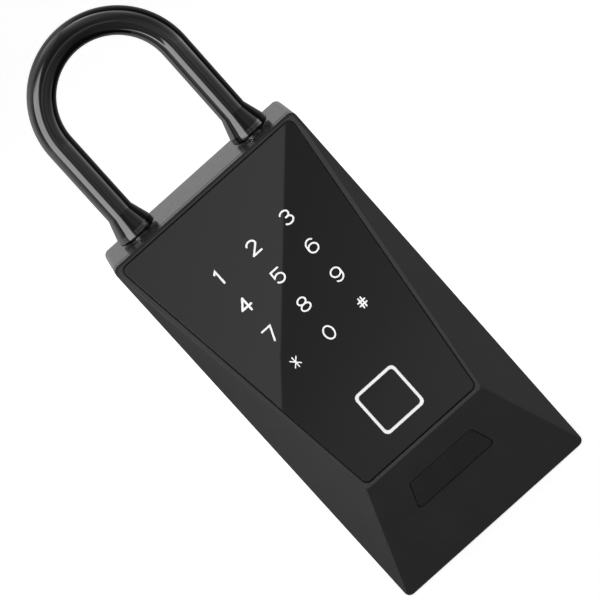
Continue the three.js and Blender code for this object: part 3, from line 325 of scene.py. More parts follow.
def ridge_outline(distance):
    """The line where the glass face meets the side facets and the bottom facet, moved inwards."""
    corners = [(-APEX_HALF, APEX_HEIGHT), (APEX_HALF, APEX_HEIGHT),
               (HALF_WIDTH, CASE_HEIGHT), (-HALF_WIDTH, CASE_HEIGHT)]
    return rounded(inset(corners, distance), RIDGE_CORNER, **STEPS)


def port_corners():
    """The port's cover is a trapezoid whose sides lean as the facet's do."""
    taper = (HALF_WIDTH - APEX_HALF) * PORT_HEIGHT / FACET_LENGTH
    high, top_half = PORT_LOW + PORT_HEIGHT, PORT_LOW_HALF - taper
    return [(-PORT_LOW_HALF, PORT_LOW), (PORT_LOW_HALF, PORT_LOW), (top_half, high), (-top_half, high)]


def sensor_corners(distance=0.0):
    """The light ring's square, moved inwards by the distance."""
    centre, half = RIM_BOTTOM - FACE_LENGTH + SENSOR_RISE, RING_SIZE / 2 - distance
    return rectangle(-half, half, centre - half, centre + half)


def lifted(outline, height):
    """An outline (x, y) at one height over its plane."""
    return np.column_stack([outline, np.full(len(outline), float(height))])


def at_depth(outline, depth):
    """An outline (x, height) at a depth, which may differ from point to point."""
    return np.stack([outline[:, 0], np.broadcast_to(depth, len(outline)), outline[:, 1]], -1)


# Shackle
def swept(stations, radii, sides=64):
    """Rings round a U: up the left leg, over a half circle and down the right. A ring is centre + radius *
    (cos a * in-plane normal + sin a * forward). Stations are heights on the legs, with a radius at each."""
    z, r = np.concatenate(stations), np.concatenate(radii)
    t = np.linspace(math.pi, 0, ARCH_STEPS + 1)
    x = np.concatenate([np.full(len(z), -LEG_HALF), LEG_HALF * np.cos(t), np.full(len(z), LEG_HALF)])
    height = np.concatenate([z, ARCH_CENTRE + LEG_HALF * np.sin(t), z[::-1]])
    normal_x = np.concatenate([np.full(len(z), -1.0), np.cos(t), np.full(len(z), 1.0)])
    normal_z = np.concatenate([np.zeros(len(z)), np.sin(t), np.zeros(len(z))])
    r = np.concatenate([r, np.full(len(t), r[-1]), r[::-1]])[:, None]
    a = np.linspace(0, 2 * np.pi, sides, endpoint=False)
    return np.stack([
        x[:, None] + r * np.cos(a) * normal_x[:, None],
        LEG_DEPTH + r * np.sin(a),
        height[:, None] + r * np.cos(a) * normal_z[:, None],
    ], -1)


def shackle_sleeve():
    """The sleeve follows the U. Each end is a boot: a rounded rim, a short drum and a straight cone that
    narrows to the leg."""
    aside, down = np.transpose(round_off(BOOT_ROUND, 6))
    share = np.linspace(0, 1, 14)
    drum = np.linspace(BOOT_BOTTOM + BOOT_ROUND + DRUM_LOW, BOOT_BOTTOM + BOOT_RIM - DRUM_HIGH, 3)
    cone = BOOT_BOTTOM + BOOT_RIM + (BOOT_HEIGHT - BOOT_RIM) * share
    stations = [BOOT_BOTTOM + aside, drum, cone, BOOT_BOTTOM + BOOT_HEIGHT + np.array(SLEEVE_STATIONS)]
    radii = [BOOT_RADIUS - down, np.linspace(BOOT_RADIUS, BOOT_RIM_RADIUS, 3),
             BOOT_RIM_RADIUS + (SLEEVE_RADIUS - BOOT_RIM_RADIUS) * share,
             [SLEEVE_RADIUS] * len(SLEEVE_STATIONS)]
    bore = [np.full(len(part), BAR_RADIUS + SEAT_GAP) for part in radii]
    rings = np.concatenate([swept(stations, radii), swept(stations, bore)[::-1]])
    return skin("coated_shackle", rings, closed=True, sharp=40)


def shackle_bar():
    """The steel U: rounded leg tips, and a neck in each leg that the lock plate slides behind."""
    aside, down = np.transpose(round_off(BAR_TIP))
    stations = [[BAR_BOTTOM], BAR_BOTTOM + aside, [NECK_LOW, NECK_LOW, NECK_HIGH, NECK_HIGH], BAR_STATIONS,
                [ARCH_CENTRE - BAR_LAST]]
    radii = [[0.0], BAR_RADIUS - down, [BAR_RADIUS, NECK_RADIUS, NECK_RADIUS, BAR_RADIUS],
             [BAR_RADIUS] * len(BAR_STATIONS), [BAR_RADIUS]]
    return skin("shackle_rod", swept(stations, radii, sides=48), sharp=40)


# Plates set in the front
def plate(name, corners, radius, low, high, edge, hole=None, to_case=on_face):
    """A flat plate between two heights. Its upper edge is a quarter round, and its hole, if it has one,
    has a plain bevel."""
    def outline_at(distance):
        """The plate's outline, moved inwards."""
        return rounded(inset(corners, distance), radius - distance)

    def hole_at(distance):
        """The hole's outline, moved outwards."""
        return rounded(inset(hole[0], -distance), hole[1] + distance)

    rings = [lifted(outline_at(0), low)]
    rings += [lifted(outline_at(aside), high - down) for aside, down in round_off(edge, 4)]
    if hole is None:
        centre = outline_at(0).mean(0)
        pole = np.tile(centre, (len(rings[0]), 1))
        rings = [lifted(pole, low)] + rings
        rings += [lifted((outline_at(edge) + centre) / 2, high), lifted(pole, high)]
    else:
        rings += [lifted(hole_at(edge - aside), high - aside) for aside, _ in round_off(edge, 4)]
        rings.append(lifted(hole_at(0), low))
    return weighted(skin(name, to_case(np.asarray(rings)), closed=hole is not None, sharp=50))


def glass_pane():
    """The trapezoid glass, with a window a gap wider than the light ring."""
    window = (sensor_corners(-RING_GAP), RING_CORNER + RING_GAP)
    return plate("glass_pane", glass_corners(), GLASS_CORNER, -GLASS_THICKNESS, 0, GLASS_ROUND, window)


def light_ring():
    """A square frame with round corners, a hair proud of the glass."""
    hole = (sensor_corners(RING_STROKE), RING_HOLE_CORNER)
    return plate("light_ring", sensor_corners(), RING_CORNER, -GLASS_THICKNESS, RING_PROUD, RING_ROUND, hole)


def sensor_window():
    """The square window inside the light ring, a hair under the glass."""
    corners = sensor_corners(RING_STROKE + RING_GAP)
    return plate("sensor_window", corners, PAD_CORNER, -GLASS_THICKNESS, -PAD_SUNK, PAD_ROUND)


def port_flap():
    """The rubber cover, level with the bottom facet."""
    return plate("port_flap", port_corners(), PORT_CORNER, -PORT_THICKNESS, 0, PORT_ROUND, to_case=on_facet)


# Shells of the case
def roof(x, z, under=0.0):
    """Depth of the faceted front: the lowest of its four planes, each pair blended over the ridge's round.
    Under is a wall's thickness, measured square to the planes."""
    def plane(way, rise, run):
        """The edge's depth plus way * rise / run, less the wall along the depth."""
        return EDGE_DEPTH + way * rise / run - under * math.hypot(rise, run) / run

    def blend(a, b, slope):
        """The lower of two, less near^2 * width / 4 where they come nearer than the width."""
        width = slope * RIDGE_ROUND / 2
        near = np.maximum(width - np.abs(a - b), 0) / width
        return np.minimum(a, b) - near * near * width / 4

    run = HALF_WIDTH - APEX_HALF
    face = plane(CASE_HEIGHT - z, APEX_RISE, FACE_DROP)
    facet = plane(z, APEX_RISE, APEX_HEIGHT)
    side = plane(HALF_WIDTH - np.abs(x), APEX_RISE, run)
    across = APEX_RISE / FACE_DROP + APEX_RISE / APEX_HEIGHT
    return blend(blend(face, facet, across), side, APEX_RISE / run)


def keep_in(places, margin, wall=0.0):
    """Places (x, height) pushed square to the case's rounded outline, or to the same outline a wall further
    in, until they lie the margin inside it."""
    radius = max(CASE_CORNER - wall, LEAST_CORNER)
    centre = np.array([0.0, CASE_HEIGHT / 2])
    half = np.array([HALF_WIDTH, CASE_HEIGHT / 2]) - wall - radius
    past = np.abs(places - centre) - half
    sign = np.where(places < centre, -1.0, 1.0)
    corner = np.maximum(past, 0)
    reach = np.linalg.norm(corner, axis=1)
    distance = reach + np.minimum(past.max(1), 0) - radius
    axis = np.where((past[:, :1] > past[:, 1:]), [[1.0, 0.0]], [[0.0, 1.0]])
    way = np.where((reach > 0)[:, None], corner / np.maximum(reach, TINY)[:, None], axis)
    return places - sign * way * np.maximum(distance + margin, 0)[:, None]


def cover_shell():
    """Rings from the ledge under the glass out over rim, ridges and facets, round the edge and back inside.
    The edge's round is tangent to the facet beside it, so it turns less where the facet leans more."""
    def glass_outline(distance):
        """The glass, moved inwards by the distance."""
        return outline_in(glass_corners(), GLASS_CORNER, distance)

    rings = [on_face(lifted(glass_outline(LEDGE_WIDTH), -ROOF_WALL)),
             on_face(lifted(glass_outline(LEDGE_WIDTH), -LEDGE_DEPTH)),
             on_face(lifted(glass_outline(-SEAM), -LEDGE_DEPTH))]
    rings += [on_face(lifted(glass_outline(-SEAM - aside), -down)) for aside, down in round_off(SEAM_ROUND)]
    seam_ring, seam = len(rings) - 1, rings[-1][:, [0, 2]]
    # The rim's faces take the lighter rim finish, which is a painted highlight.
    rim = range(seam_ring, seam_ring + RIDGE_STEPS.index(0) + 2)

    ridge = [ridge_outline(distance) for distance in RIDGE_STEPS]
    end = case_outline(FRONT_ROUND + FACET_END)
    facets = [ridge[-1] + (end - ridge[-1]) * share for share in FACET_SHARES]
    outlines = [(seam + ridge[0]) / 2] + ridge + facets
    for outline, margin in zip(outlines, np.linspace(RIM_MARGIN, FACET_MARGIN, len(outlines))):
        outline = keep_in(outline, margin)
        rings.append(at_depth(outline, roof(*outline.T)))

    edge, edge_in = case_outline(), case_outline(FRONT_ROUND)
    lean = np.arctan2(np.maximum(roof(*edge_in.T) - roof(*edge.T), 0), FRONT_ROUND)
    centre = roof(*edge.T) + FRONT_ROUND * (np.tan(lean) - 1 / np.cos(lean))
    for share in np.linspace(1, 0, 7):
        t = (np.pi / 2 - lean) * share
        outline = edge + (edge_in - edge) * (1 - np.cos(t))[:, None]
        rings.append(at_depth(outline, centre + FRONT_ROUND * np.sin(t)))
    rings += [at_depth(case_outline(aside), COVER_BACK + down) for aside, down in round_off(PARTING_ROUND)]

    inside, under = case_outline(COVER_WALL), rings[0][:, [0, 2]]
    rings += [at_depth(inside, COVER_BACK), at_depth(inside, roof(*inside.T, ROOF_WALL))]
    for share in ROOF_SHARES:
        outline = keep_in(under + (inside - under) * share, ROOF_MARGIN, COVER_WALL)
        rings.append(at_depth(outline, roof(*outline.T, ROOF_WALL)))
    return skin("faceted_cover", rings, closed=True, sharp=40, toned=rim)


def tub_shell():
    """Rings from the middle of the back over the pad's recess, round the back edge, up the sides and down
    inside."""
    recess, opening = rectangle(*RECESS), rectangle(*OPENING)
    middle = np.tile([0.0, CASE_HEIGHT / 2], (len(case_outline()), 1))
    rings = [at_depth(middle, RECESS_DEPTH), at_depth(outline_in(recess, RECESS_CORNER), RECESS_DEPTH)]
    rings += [at_depth(outline_in(recess, RECESS_CORNER, -aside), down)
              for aside, down in round_off(RECESS_ROUND)]
    rings += [at_depth(case_outline(aside), down) for aside, down in round_off(BACK_ROUND, 8)[::-1]]
    rings += [at_depth(case_outline(aside), TUB_FRONT - down) for aside, down in round_off(PARTING_ROUND)]
    rings += [at_depth(outline_in(opening, OPENING_CORNER, -aside), TUB_FRONT - down)
              for aside, down in round_off(PARTING_ROUND)[::-1]]
    rings += [at_depth(outline_in(opening, OPENING_CORNER), TUB_FLOOR), at_depth(middle, TUB_FLOOR)]
    return skin("tub", rings, sharp=40)


def prism(outline, low, high, to_case):
    """A straight solid over an outline, between two heights, capped at both ends."""
    centre = np.tile(np.asarray(outline).mean(0), (len(outline), 1))
    rings = [lifted(centre, low), lifted(outline, low), lifted(outline, high), lifted(centre, high)]
    return skin("prism", to_case(np.asarray(rings)))


def rod(radius, centre, low, high, to_case, edge=0.0, sides=48):
    """A round bar between two stations, centre + radius * (cos t, sin t); edge rounds both of its ends."""
    t = np.linspace(0, 2 * np.pi, sides, endpoint=False)

    def circle(reach):
        """Centre + reach * (cos t, sin t)."""
        return np.column_stack([centre[0] + reach * np.cos(t), centre[1] + reach * np.sin(t)])

    ends = round_off(edge, 4) if edge else [(0.0, 0.0)]
    rings = [lifted(circle(0), low)]
    rings += [lifted(circle(radius - down), low + aside) for aside, down in ends]
    rings += [lifted(circle(radius - down), high - aside) for aside, down in ends[::-1]]
    rings.append(lifted(circle(0), high))
    return skin("rod", to_case(np.asarray(rings)))


def front_cover():
    """The cover's shell with the hinge barrel and the screw bosses, less the slots of the hinge, the port
    and the screw holes."""
    barrel, through = HALF_WIDTH - BARREL_INSET, HALF_WIDTH + OVERRUN
    bosses = [(side * x, z, top) for x, z, top in COVER_BOSSES for side in (-1, 1)]
    steps = [(JOIN, rod(BARREL_RADIUS, HINGE, -barrel, barrel, along_x, BARREL_ROUND, 64))]
    for x, z, top in bosses:
        steps.append((JOIN, rod(BOSS_RADIUS, (x, z), COVER_BACK, top, along_depth, sides=32)))
    for side in (-1, 1):
        x, reach = side * LUG_SPACING / 2, LUG_WIDTH / 2 + FREE_GAP
        steps.append((CUT, rod(BARREL_RADIUS + FREE_GAP, HINGE, x - reach, x + reach, along_x, sides=64)))
    steps.append((CUT, rod(PIN_RADIUS + SEAT_GAP, HINGE, -through, through, along_x)))
    seat = rounded(inset(port_corners(), -FREE_GAP), PORT_CORNER + SEAT_GAP, per_corner=7, per_side=2)
    steps.append((CUT, prism(seat, -PORT_THICKNESS - SEAT_GAP, OVERRUN, on_facet)))
    centre, half, rise = PORT_LOW + PORT_HEIGHT / 2, SOCKET_HALF + FREE_GAP, SOCKET_RISE + FREE_GAP
    mouth = rectangle(-half, half, centre - rise, centre + rise)
    mouth = rounded(mouth, SOCKET_CORNER + FREE_GAP, per_corner=7, per_side=1)
    steps.append((CUT, prism(mouth, -MOUTH_DEPTH, OVERRUN, on_facet)))
    low, high = COVER_BACK - SCREW_START, COVER_BACK + SCREW_REACH
    for x, z, _ in bosses:
        steps.append((CUT, rod(SCREW_HOLE, (x, z), low, high, along_depth, sides=24)))
    shell = cover_shell()
    for tone in ("cover", "rim"):
        shell.data.materials.append(finishes[tone])
    return carve(shell, steps)


def rear_housing():
    """The tub less the door's notch, with the hinge lugs, leg bosses and deck posts, less their bores."""
    through, above = HALF_WIDTH + OVERRUN, CASE_HEIGHT + OVERRUN
    notch = rectangle(NOTCH_BACK, NOTCH_FRONT, NOTCH_LOW, HINGE_HEIGHT)
    web = rectangle(WEB_BACK, HINGE_DEPTH, WEB_LOW, WEB_TOP)
    root = rectangle(WEB_BACK, NOTCH_BACK, ROOT_LOW, WEB_TOP)
    steps = [(CUT, prism(notch, -through, through, along_x)),
             (CUT, rod(BARREL_RADIUS + FREE_GAP, HINGE, -through, through, along_x, sides=64))]
    for side in (-1, 1):
        low, high = (side * LUG_SPACING / 2 + end * LUG_WIDTH / 2 for end in (-1, 1))
        steps.append((JOIN, rod(LUG_RADIUS, HINGE, low, high, along_x, LUG_ROUND)))
        steps += [(JOIN, prism(outline, low, high, along_x)) for outline in (web, root)]
    posts = [(side * x, depth) for x, depth in DECK_POSTS for side in (-1, 1)]
    legs = [(side * LEG_HALF, LEG_DEPTH) for side in (-1, 1)]
    steps += [(JOIN, rod(LEG_BOSS_RADIUS, leg, LEG_BOSS_LOW, BOSS_TOP, along_z)) for leg in legs]
    steps += [(JOIN, rod(POST_RADIUS, post, POST_LOW, BOSS_TOP, along_z, sides=32)) for post in posts]
    steps.append((CUT, rod(PIN_RADIUS + SEAT_GAP, HINGE, -LUG_SPACING, LUG_SPACING, along_x, sides=32)))
    for leg in legs:
        steps.append((CUT, rod(LEG_BORE, leg, LEG_BORE_LOW, above, along_z)))
        steps.append((CUT, rod(SEAL_BORE, leg, CASE_HEIGHT - SEAL_DEPTH, above, along_z, sides=64)))
    steps += [(CUT, rod(POST_HOLE, post, POST_HOLE_LOW, POST_HOLE_TOP, along_z, sides=24)) for post in posts]
    return carve(tub_shell(), steps)


# Figures on the keypad
def arc(x, y, half_width, half_height, start, end, steps=18):
    """Points on an ellipse arc, (x + half width * cos t, y + half height * sin t), between two angles in
    degrees."""
    t = np.radians(np.linspace(start, end, steps))
    return np.stack([x + half_width * np.cos(t), y + half_height * np.sin(t)], -1)


def figure_strokes():
    """Centre lines of the twelve signs about each sign's own middle: straight runs and ellipse arcs."""
    high, wide = FIGURE_HALF_HEIGHT, FIGURE_HALF_WIDTH
    six = [*arc(0.12, 0.42, 1.64, 1.75, 46, 180, 18), *arc(0, -0.76, wide, 1.41, 180, 540, 40)]
    five = [(1.4, high - 0.05), (-1.36, high - 0.05), (-1.42, 0.06)]
    five += [*arc(-0.04, -0.76, wide, 1.4, 128, -150, 26)]
    return {
        "1": [[(-0.72, 1.5), (0.05, high), (0.05, -high)]],
        "2": [[*arc(0, 0.95, wide - 0.08, 1.13, 165, -28, 22), (-wide, -high)],
              [(-wide, -high), (wide, -high)]],
        "3": [[*arc(-0.02, 1.07, wide - 0.12, 1.1, 150, -75, 20), (-0.2, 0.08)],
              [(-0.2, 0.08), *arc(0, -1.0, wide, 1.17, 78, -152, 24)]],
        "4": [[(0.78, -high), (0.78, high)], [(0.78, high), (-wide, -0.68)],
              [(-wide, -0.68), (1.85, -0.68)]],
        "5": [five],
        "6": [six],
        "7": [[(-wide, high - 0.12), (wide, high - 0.12), (-0.25, -high - 0.12)]],
        "8": [arc(0, 1.08, wide - 0.2, 1.09, 0, 360, 36), arc(0, -1.08, wide, 1.09, 0, 360, 36)],
        "9": [-np.array(six)],
        "0": [arc(0, 0, wide, high - 0.03, 0, 360, 48)],
        "star": [[(0, 1.74), (0, -1.74)], [(-1.2, 1.27), (1.2, -1.27)], [(-1.2, -1.27), (1.2, 1.27)]],
        "hatch": [[(-0.34, 1.6), (-0.54, -1.6)], [(0.54, 1.6), (0.34, -1.6)],
                  [(-1.25, 0.54), (1.25, 0.54)], [(-1.25, -0.54), (1.25, -0.54)]],
    }


def ribbon(line, half, low, high, cap=7):
    """Rings of a flat stroke: half its width to each side of the line, and wider at bends. Its ends are
    round: their rings lie half * sin t past the line's end and reach half * cos t to each side."""
    line = np.asarray(line, float)
    step = np.diff(line, axis=0)
    step /= np.maximum(np.linalg.norm(step, axis=1, keepdims=True), TINY)
    along = np.concatenate([step[:1], step[:-1] + step[1:], step[-1:]])
    along /= np.maximum(np.linalg.norm(along, axis=1, keepdims=True), TINY)
    across = np.stack([-along[:, 1], along[:, 0]], -1)
    bend = np.concatenate([[1.0], np.clip((along[1:-1] * step[1:]).sum(1), LEAST_BEND, 1), [1.0]])[:, None]
    t = np.linspace(0, np.pi / 2, cap)[1:, None]
    past, side = half * np.sin(t), half * np.cos(t)
    centre = np.concatenate([line[0] - along[0] * past[::-1], line, line[-1] + along[-1] * past])
    side = np.concatenate([across[0] * side[::-1], across * half / bend, across[-1] * side])
    corners = np.stack([centre + side, centre - side, centre - side, centre + side], 1)
    heights = np.broadcast_to([low, low, high, high], corners.shape[:2])
    return np.concatenate([corners, heights[..., None]], -1)


def keypad_figures():
    """One mesh of all strokes. Each stroke of a sign is a hair higher than the last: none share a plane."""
    strokes = figure_strokes()
    vertices, faces, start = [], [], 0
    for i, sign in enumerate(KEYS):
        rise = SIGN_RISE if sign in ("star", "hatch") else 0.0
        x = (i % 3 - 1) * KEY_PITCH
        y = (KEY_TOP - KEY_DROP * (i // 3) + rise - CASE_HEIGHT) / math.cos(FACE_LEAN)
        for k, line in enumerate(strokes[sign]):
            rings = ribbon(line, STROKE_HALF * WEIGHTS[sign], FIGURE_LOW, FIGURE_HIGH + CROSSING_STEP * k)
            rings[..., :2] += x, y
            count, points = rings.shape[:2]
            vertices.append(in_row(on_face(rings)).reshape(-1, 3))
            caps = [list(range(points)), list(range(count * points - 1, (count - 1) * points - 1, -1))]
            faces += (quads(count, points, False) + start).tolist() + (np.array(caps) + start).tolist()
            start += count * points
    return mesh_piece("keypad_figures", np.concatenate(vertices), faces)


# Shader nodes
def feed(tree, socket, value):
    """A value set on a socket, or another node's output linked to it."""
    if isinstance(value, bpy.types.NodeSocket):
        tree.links.new(value, socket)
    else:
        socket.default_value = value


def add_node(tree, kind, **inputs):
    """A new node with its sockets fed, each named with _ for a space."""
    node = tree.nodes.new("ShaderNode" + kind)
    for name, value in inputs.items():
        feed(tree, node.inputs[name.replace("_", " ")], value)
    return node


def math_node(tree, operation, *values):
    """The output of one Math node fed with the values in order."""
    node = tree.nodes.new("ShaderNodeMath")
    node.operation = operation
    for socket, value in zip(node.inputs, values):
        feed(tree, socket, value)
    return node.outputs[0]


def object_place(tree):
    """The x, y and z sockets of the Object coordinates."""
    return add_node(tree, "SeparateXYZ", Vector=add_node(tree, "TexCoord").outputs["Object"]).outputs


def seen(tree):
    """1 for what the eye, gloss and glass see, 0 for the light that falls on surfaces."""
    path = add_node(tree, "LightPath").outputs
    level = math_node(tree, "MAXIMUM", path["Is Camera Ray"], path["Is Glossy Ray"])
    return math_node(tree, "MAXIMUM", level, path["Is Transmission Ray"])


# Finishes
NOISE_LOW, NOISE_HIGH = 0.3, 0.7  # where most of the noise lies
BROAD_SHARE = 0.12  # scale of the colour's noise, as a share of the grain's
LEAST_ROUGHNESS = 0.01


def finish(name, colour, roughness, metallic=0.0, grain=900.0, bump=0.15, mottle=0.12, specular=0.5,
           ior=1.45, streak=(1, 1, 1), glow=0.0, depth=0.00002, vary=0.06):
    """A surface with its own grain: noise over the object's place varies the colour, the roughness and the
    height. Mottle is the colour's share of change, vary the roughness's change, depth the height of the
    grain in metres."""
    material = bpy.data.materials.new(name)
    material.use_nodes = True
    tree = material.node_tree
    shader = tree.nodes["Principled BSDF"]
    place = add_node(tree, "TexCoord").outputs["Object"]
    place = add_node(tree, "Mapping", Vector=place, Scale=streak).outputs["Vector"]
    broad = add_node(tree, "TexNoise", Vector=place, Scale=grain * BROAD_SHARE, Detail=3).outputs["Fac"]
    fine = add_node(tree, "TexNoise", Vector=place, Scale=grain, Detail=4).outputs["Fac"]
    ramp = add_node(tree, "ValToRGB", Fac=broad)
    low, high = ramp.color_ramp.elements
    low.position, high.position = NOISE_LOW, NOISE_HIGH
    low.color = [c * (1 - mottle) for c in colour] + [1]
    high.color = [min(c * (1 + mottle), 1) for c in colour] + [1]
    spread = add_node(tree, "MapRange", Value=fine, From_Min=NOISE_LOW, From_Max=NOISE_HIGH,
                      To_Min=max(roughness - vary, LEAST_ROUGHNESS), To_Max=roughness + vary)
    feed(tree, shader.inputs["Base Color"], ramp.outputs["Color"])
    feed(tree, shader.inputs["Roughness"], spread.outputs["Result"])
    feed(tree, shader.inputs["Metallic"], metallic)
    feed(tree, shader.inputs["IOR"], ior)
    feed(tree, shader.inputs["Specular IOR Level"], specular)
    if bump:
        relief = add_node(tree, "Bump", Strength=bump, Distance=depth, Height=fine)
        feed(tree, shader.inputs["Normal"], relief.outputs["Normal"])
    if glow:
        feed(tree, shader.inputs["Emission Color"], ramp.outputs["Color"])
        feed(tree, shader.inputs["Emission Strength"], glow)
    return material


finishes = {
    "case": finish("satin_black_case", (0.034, 0.034, 0.0345), 0.2,
                   bump=0.1, mottle=0.05, specular=0.09, vary=0.04),
    "cover": finish("satin_black_cover", (0.035, 0.035, 0.0355), 0.24,
                    bump=0.1, mottle=0.05, specular=0.08, vary=0.04),
    # The rim's black is lighter and glossier than the case's: a painted highlight along the rim round the
    # glass.
    "rim": finish("rim_painted_highlight", (0.063, 0.063, 0.0635), 0.3, bump=0.1, mottle=0.05, specular=0.16),
    "glass": finish("black_glass", (0.0025, 0.0025, 0.0027), 0.012, grain=60, bump=0, ior=1.5, vary=0.004),
    "print": finish("lit_white_figures", (0.93, 0.93, 0.93), 0.5,
                    grain=500, bump=0.05, mottle=0.02, glow=0.4),
    "light_ring": finish("milky_light_ring", (0.9, 0.9, 0.9), 0.4,
                         grain=120, bump=0.05, mottle=0.02, glow=0.36),
    "sensor_black": finish("sensor_window", (0.004, 0.004, 0.0045), 0.06,
                           grain=200, bump=0, ior=1.5, vary=0.02),
    "rubber": finish("black_rubber", (0.024, 0.024, 0.0245), 0.55,
                     grain=1400, bump=0.2, mottle=0.06, specular=0.09),
    "sleeve": finish("gloss_coating", (0.004, 0.004, 0.0042), 0.07,
                     grain=260, bump=0.05, ior=1.5, depth=0.00001, vary=0.02),
    "shackle_steel": finish("bright_steel", (0.56, 0.57, 0.58), 0.22, 1.0,
                            grain=700, bump=0.1, streak=(1, 1, 0.06)),
    "inner_plastic": finish("inner_black_plastic", (0.03, 0.03, 0.031), 0.55,
                            grain=1300, bump=0.35, specular=0.4),
    "steel": finish("zinc_plated_steel", (0.42, 0.43, 0.44), 0.32, 1.0, grain=500, bump=0.12),
    "motor_metal": finish("motor_can", (0.5, 0.51, 0.53), 0.25, 1.0,
                          grain=600, bump=0.1, streak=(0.1, 1, 1)),
    "zinc": finish("cast_zinc", (0.47, 0.48, 0.49), 0.4, 1.0, grain=800, bump=0.25),
    "brass": finish("cut_brass", (0.56, 0.4, 0.16), 0.3, 1.0, grain=700, bump=0.1),
    "board": finish("green_board", (0.01, 0.06, 0.03), 0.4, grain=500, bump=0.1),
    "cell_wrap": finish("cell_sleeve", (0.03, 0.08, 0.2), 0.3, grain=300, bump=0.05),
    "contact": finish("spring_steel", (0.55, 0.56, 0.55), 0.25, 1.0, grain=900, bump=0.05),
    "knob": finish("grey_knob", (0.2, 0.205, 0.21), 0.5, grain=1200, bump=0.3),
}


# The safe: first the CAD nodes that stay, each with its finish, then the new pieces
def dress(piece, slot, body, tone=None):
    """A new piece with its finish, picked by the slot or the tone, attached to the body that it rides on."""
    if not piece.data.materials:
        piece.data.materials.append(finishes[tone or slot])
    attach(piece, body)
    return piece


for entry in frame["record"]["subparts"]:
    node = nodes[entry["node"]]
    node.data.materials.clear()
    node.data.materials.append(finishes[entry["material_slot"]])

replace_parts(dress(shackle_sleeve(), "sleeve", "shackle"), "shackle_sleeve")
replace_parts(dress(shackle_bar(), "shackle_steel", "shackle"), "shackle_bar")
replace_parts(dress(glass_pane(), "glass", "door"), "touch_panel")
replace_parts(dress(light_ring(), "light_ring", "door"), "sensor_ring")
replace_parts(dress(sensor_window(), "sensor_black", "door"), "sensor_pad")
dress(keypad_figures(), "light_ring", "door", "print")
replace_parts(dress(front_cover(), "cover", "door"), "front_cover")
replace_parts(dress(rear_housing(), "case", "housing"), "rear_housing")
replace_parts(dress(port_flap(), "rubber", "port_flap"), "port_cover")

# Studio, in metres

# What gloss sees round the object: levels by the angle round it, 0 in front and positive to the right, or
# by the angle of height, both in degrees.
TOP_LEVEL = 8  # the ramps hold shares of it
AROUND = [(-180, 0.75), (-151, 0.6), (-128, 1.2), (-112, 1.6), (-99, 1.5), (-88, 1.45), (-77, 1.4),
          (-71, 0.75), (-60, 0.7), (-25, 0.75), (-16, 0.62), (-9, 0.45), (-2, 0.424), (2, 0.556),
          (8, 0.66), (16, 0.98), (24, 1.08), (32, 0.95), (40, 0.95), (49, 1.25), (56, 1.7), (62, 2.2),
          (67.5, 3.2), (73, 4.9), (77, 3.8), (81, 0.1), (99, 0.04), (112, 0.16), (128, 0.24), (150, 0.35),
          (180, 0.75)]
FRONT_HEIGHT = [(-90, 0), (-68, 0.03), (-60, 0.12), (-52, 0.45), (-44, 0.38), (-35, 0.38), (-27, 0.55),
                (-20, 0.62), (-14, 0.72), (-10.5, 0.56), (-8.5, 0.62), (-7.2, 0.8), (-6.4, 1.3),
                (-5.3, 1.28), (-4, 0.99), (-1, 0.725), (3, 0.6), (7, 0.5), (12, 0.38), (20, 0.35),
                (28, 0.5), (36, 0.7), (44, 0.8), (52, 0.9), (61, 1.4), (70, 2.1), (80, 2.1), (90, 2.4)]
BACK_HEIGHT = [(-90, 0.1), (-60, 0.2), (-20, 0.8), (-9, 0.85), (4, 1.03), (20, 1.08), (40, 0.9), (60, 0.8),
               (75, 1.8), (90, 2.4)]
BEHIND = [(-180, 1), (-110, 1), (-80, 0), (80, 0), (110, 1), (180, 1)]  # share of the back's heights
WALL_RADIUS, WALL_MIDDLE, WALL_ROWS, WALL_COLUMNS = 9.0, 0.1, 25, 48

STRIP = [(-180, 0), (-67.5, 0), (-63.5, 6.4), (-28, 6.2), (-23, 0.4), (-18, 0), (180, 0)]
STRIP_HEIGHT = [(-90, 0), (-50, 0), (-40, 0.5), (-27, 1.2), (-20, 1.42), (-13, 1.2), (-10.5, 1), (30, 1),
                (42, 0), (90, 0)]
STRIP_LOW = [(-180, 1), (-58, 1), (-54, 0), (180, 0)]  # where it reaches under its foot
STRIP_FOOT = [(-90, 0), (-13.2, 0), (-11.8, 1), (90, 1)]
STRIP_RADIUS, STRIP_MIDDLE, STRIP_ROWS, STRIP_COLUMNS = 0.7, 0.165, 15, 30
STRIP_LEFT, STRIP_RIGHT, STRIP_BOTTOM, STRIP_TOP = -72, -14, -0.7, 0.85

PANEL_CORNERS = [(-0.14, -0.9, 0.2), (-0.14, -0.9, -0.008), (-0.0675, -0.9, -0.008), (0.1257, -0.9, 0.2)]
PANEL_LEVEL, PANEL_RIGHTWARD, PANEL_UPWARD = 1.15, 1.1, -1.45

FLOOR_HALF, FLOOR_HEIGHT, FLOOR_COLOUR, FLOOR_ROUGHNESS, FLOOR_TOP_UP = 4, -0.0003, 0.8, 0.9, 0.72
FLOOR_OPENING = (-0.06, 0.06, -0.165, -0.0217)
SKY_LOW, SKY_HIGH, SKY_LOW_LEVEL, SKY_HIGH_LEVEL = -0.3, 0.5, 0.16, 0.26

LAMP_AIM = (0, 0, 0.08)
FRONT_LAMP = dict(place=(0, -1.02, 0.42), size=(0.6, 0.4), power=5.2)
SIDE_LAMP_X, SIDE_LAMP_Y, SIDE_LAMP_Z = 0.85, 0.6, 0.25
SIDE_LAMP_SIZE, SIDE_LAMP_POWER = (0.5, 0.5), 3.0

CAMERA_PLACE, CAMERA_ELEVATION, CAMERA_ROLL = (0.00036, -1.04895, 0.3122), 11.97, 41.85
LENS, SENSOR_WIDTH, CLIP_NEAR, CLIP_FAR = 211.28, 36.0, 0.05, 20


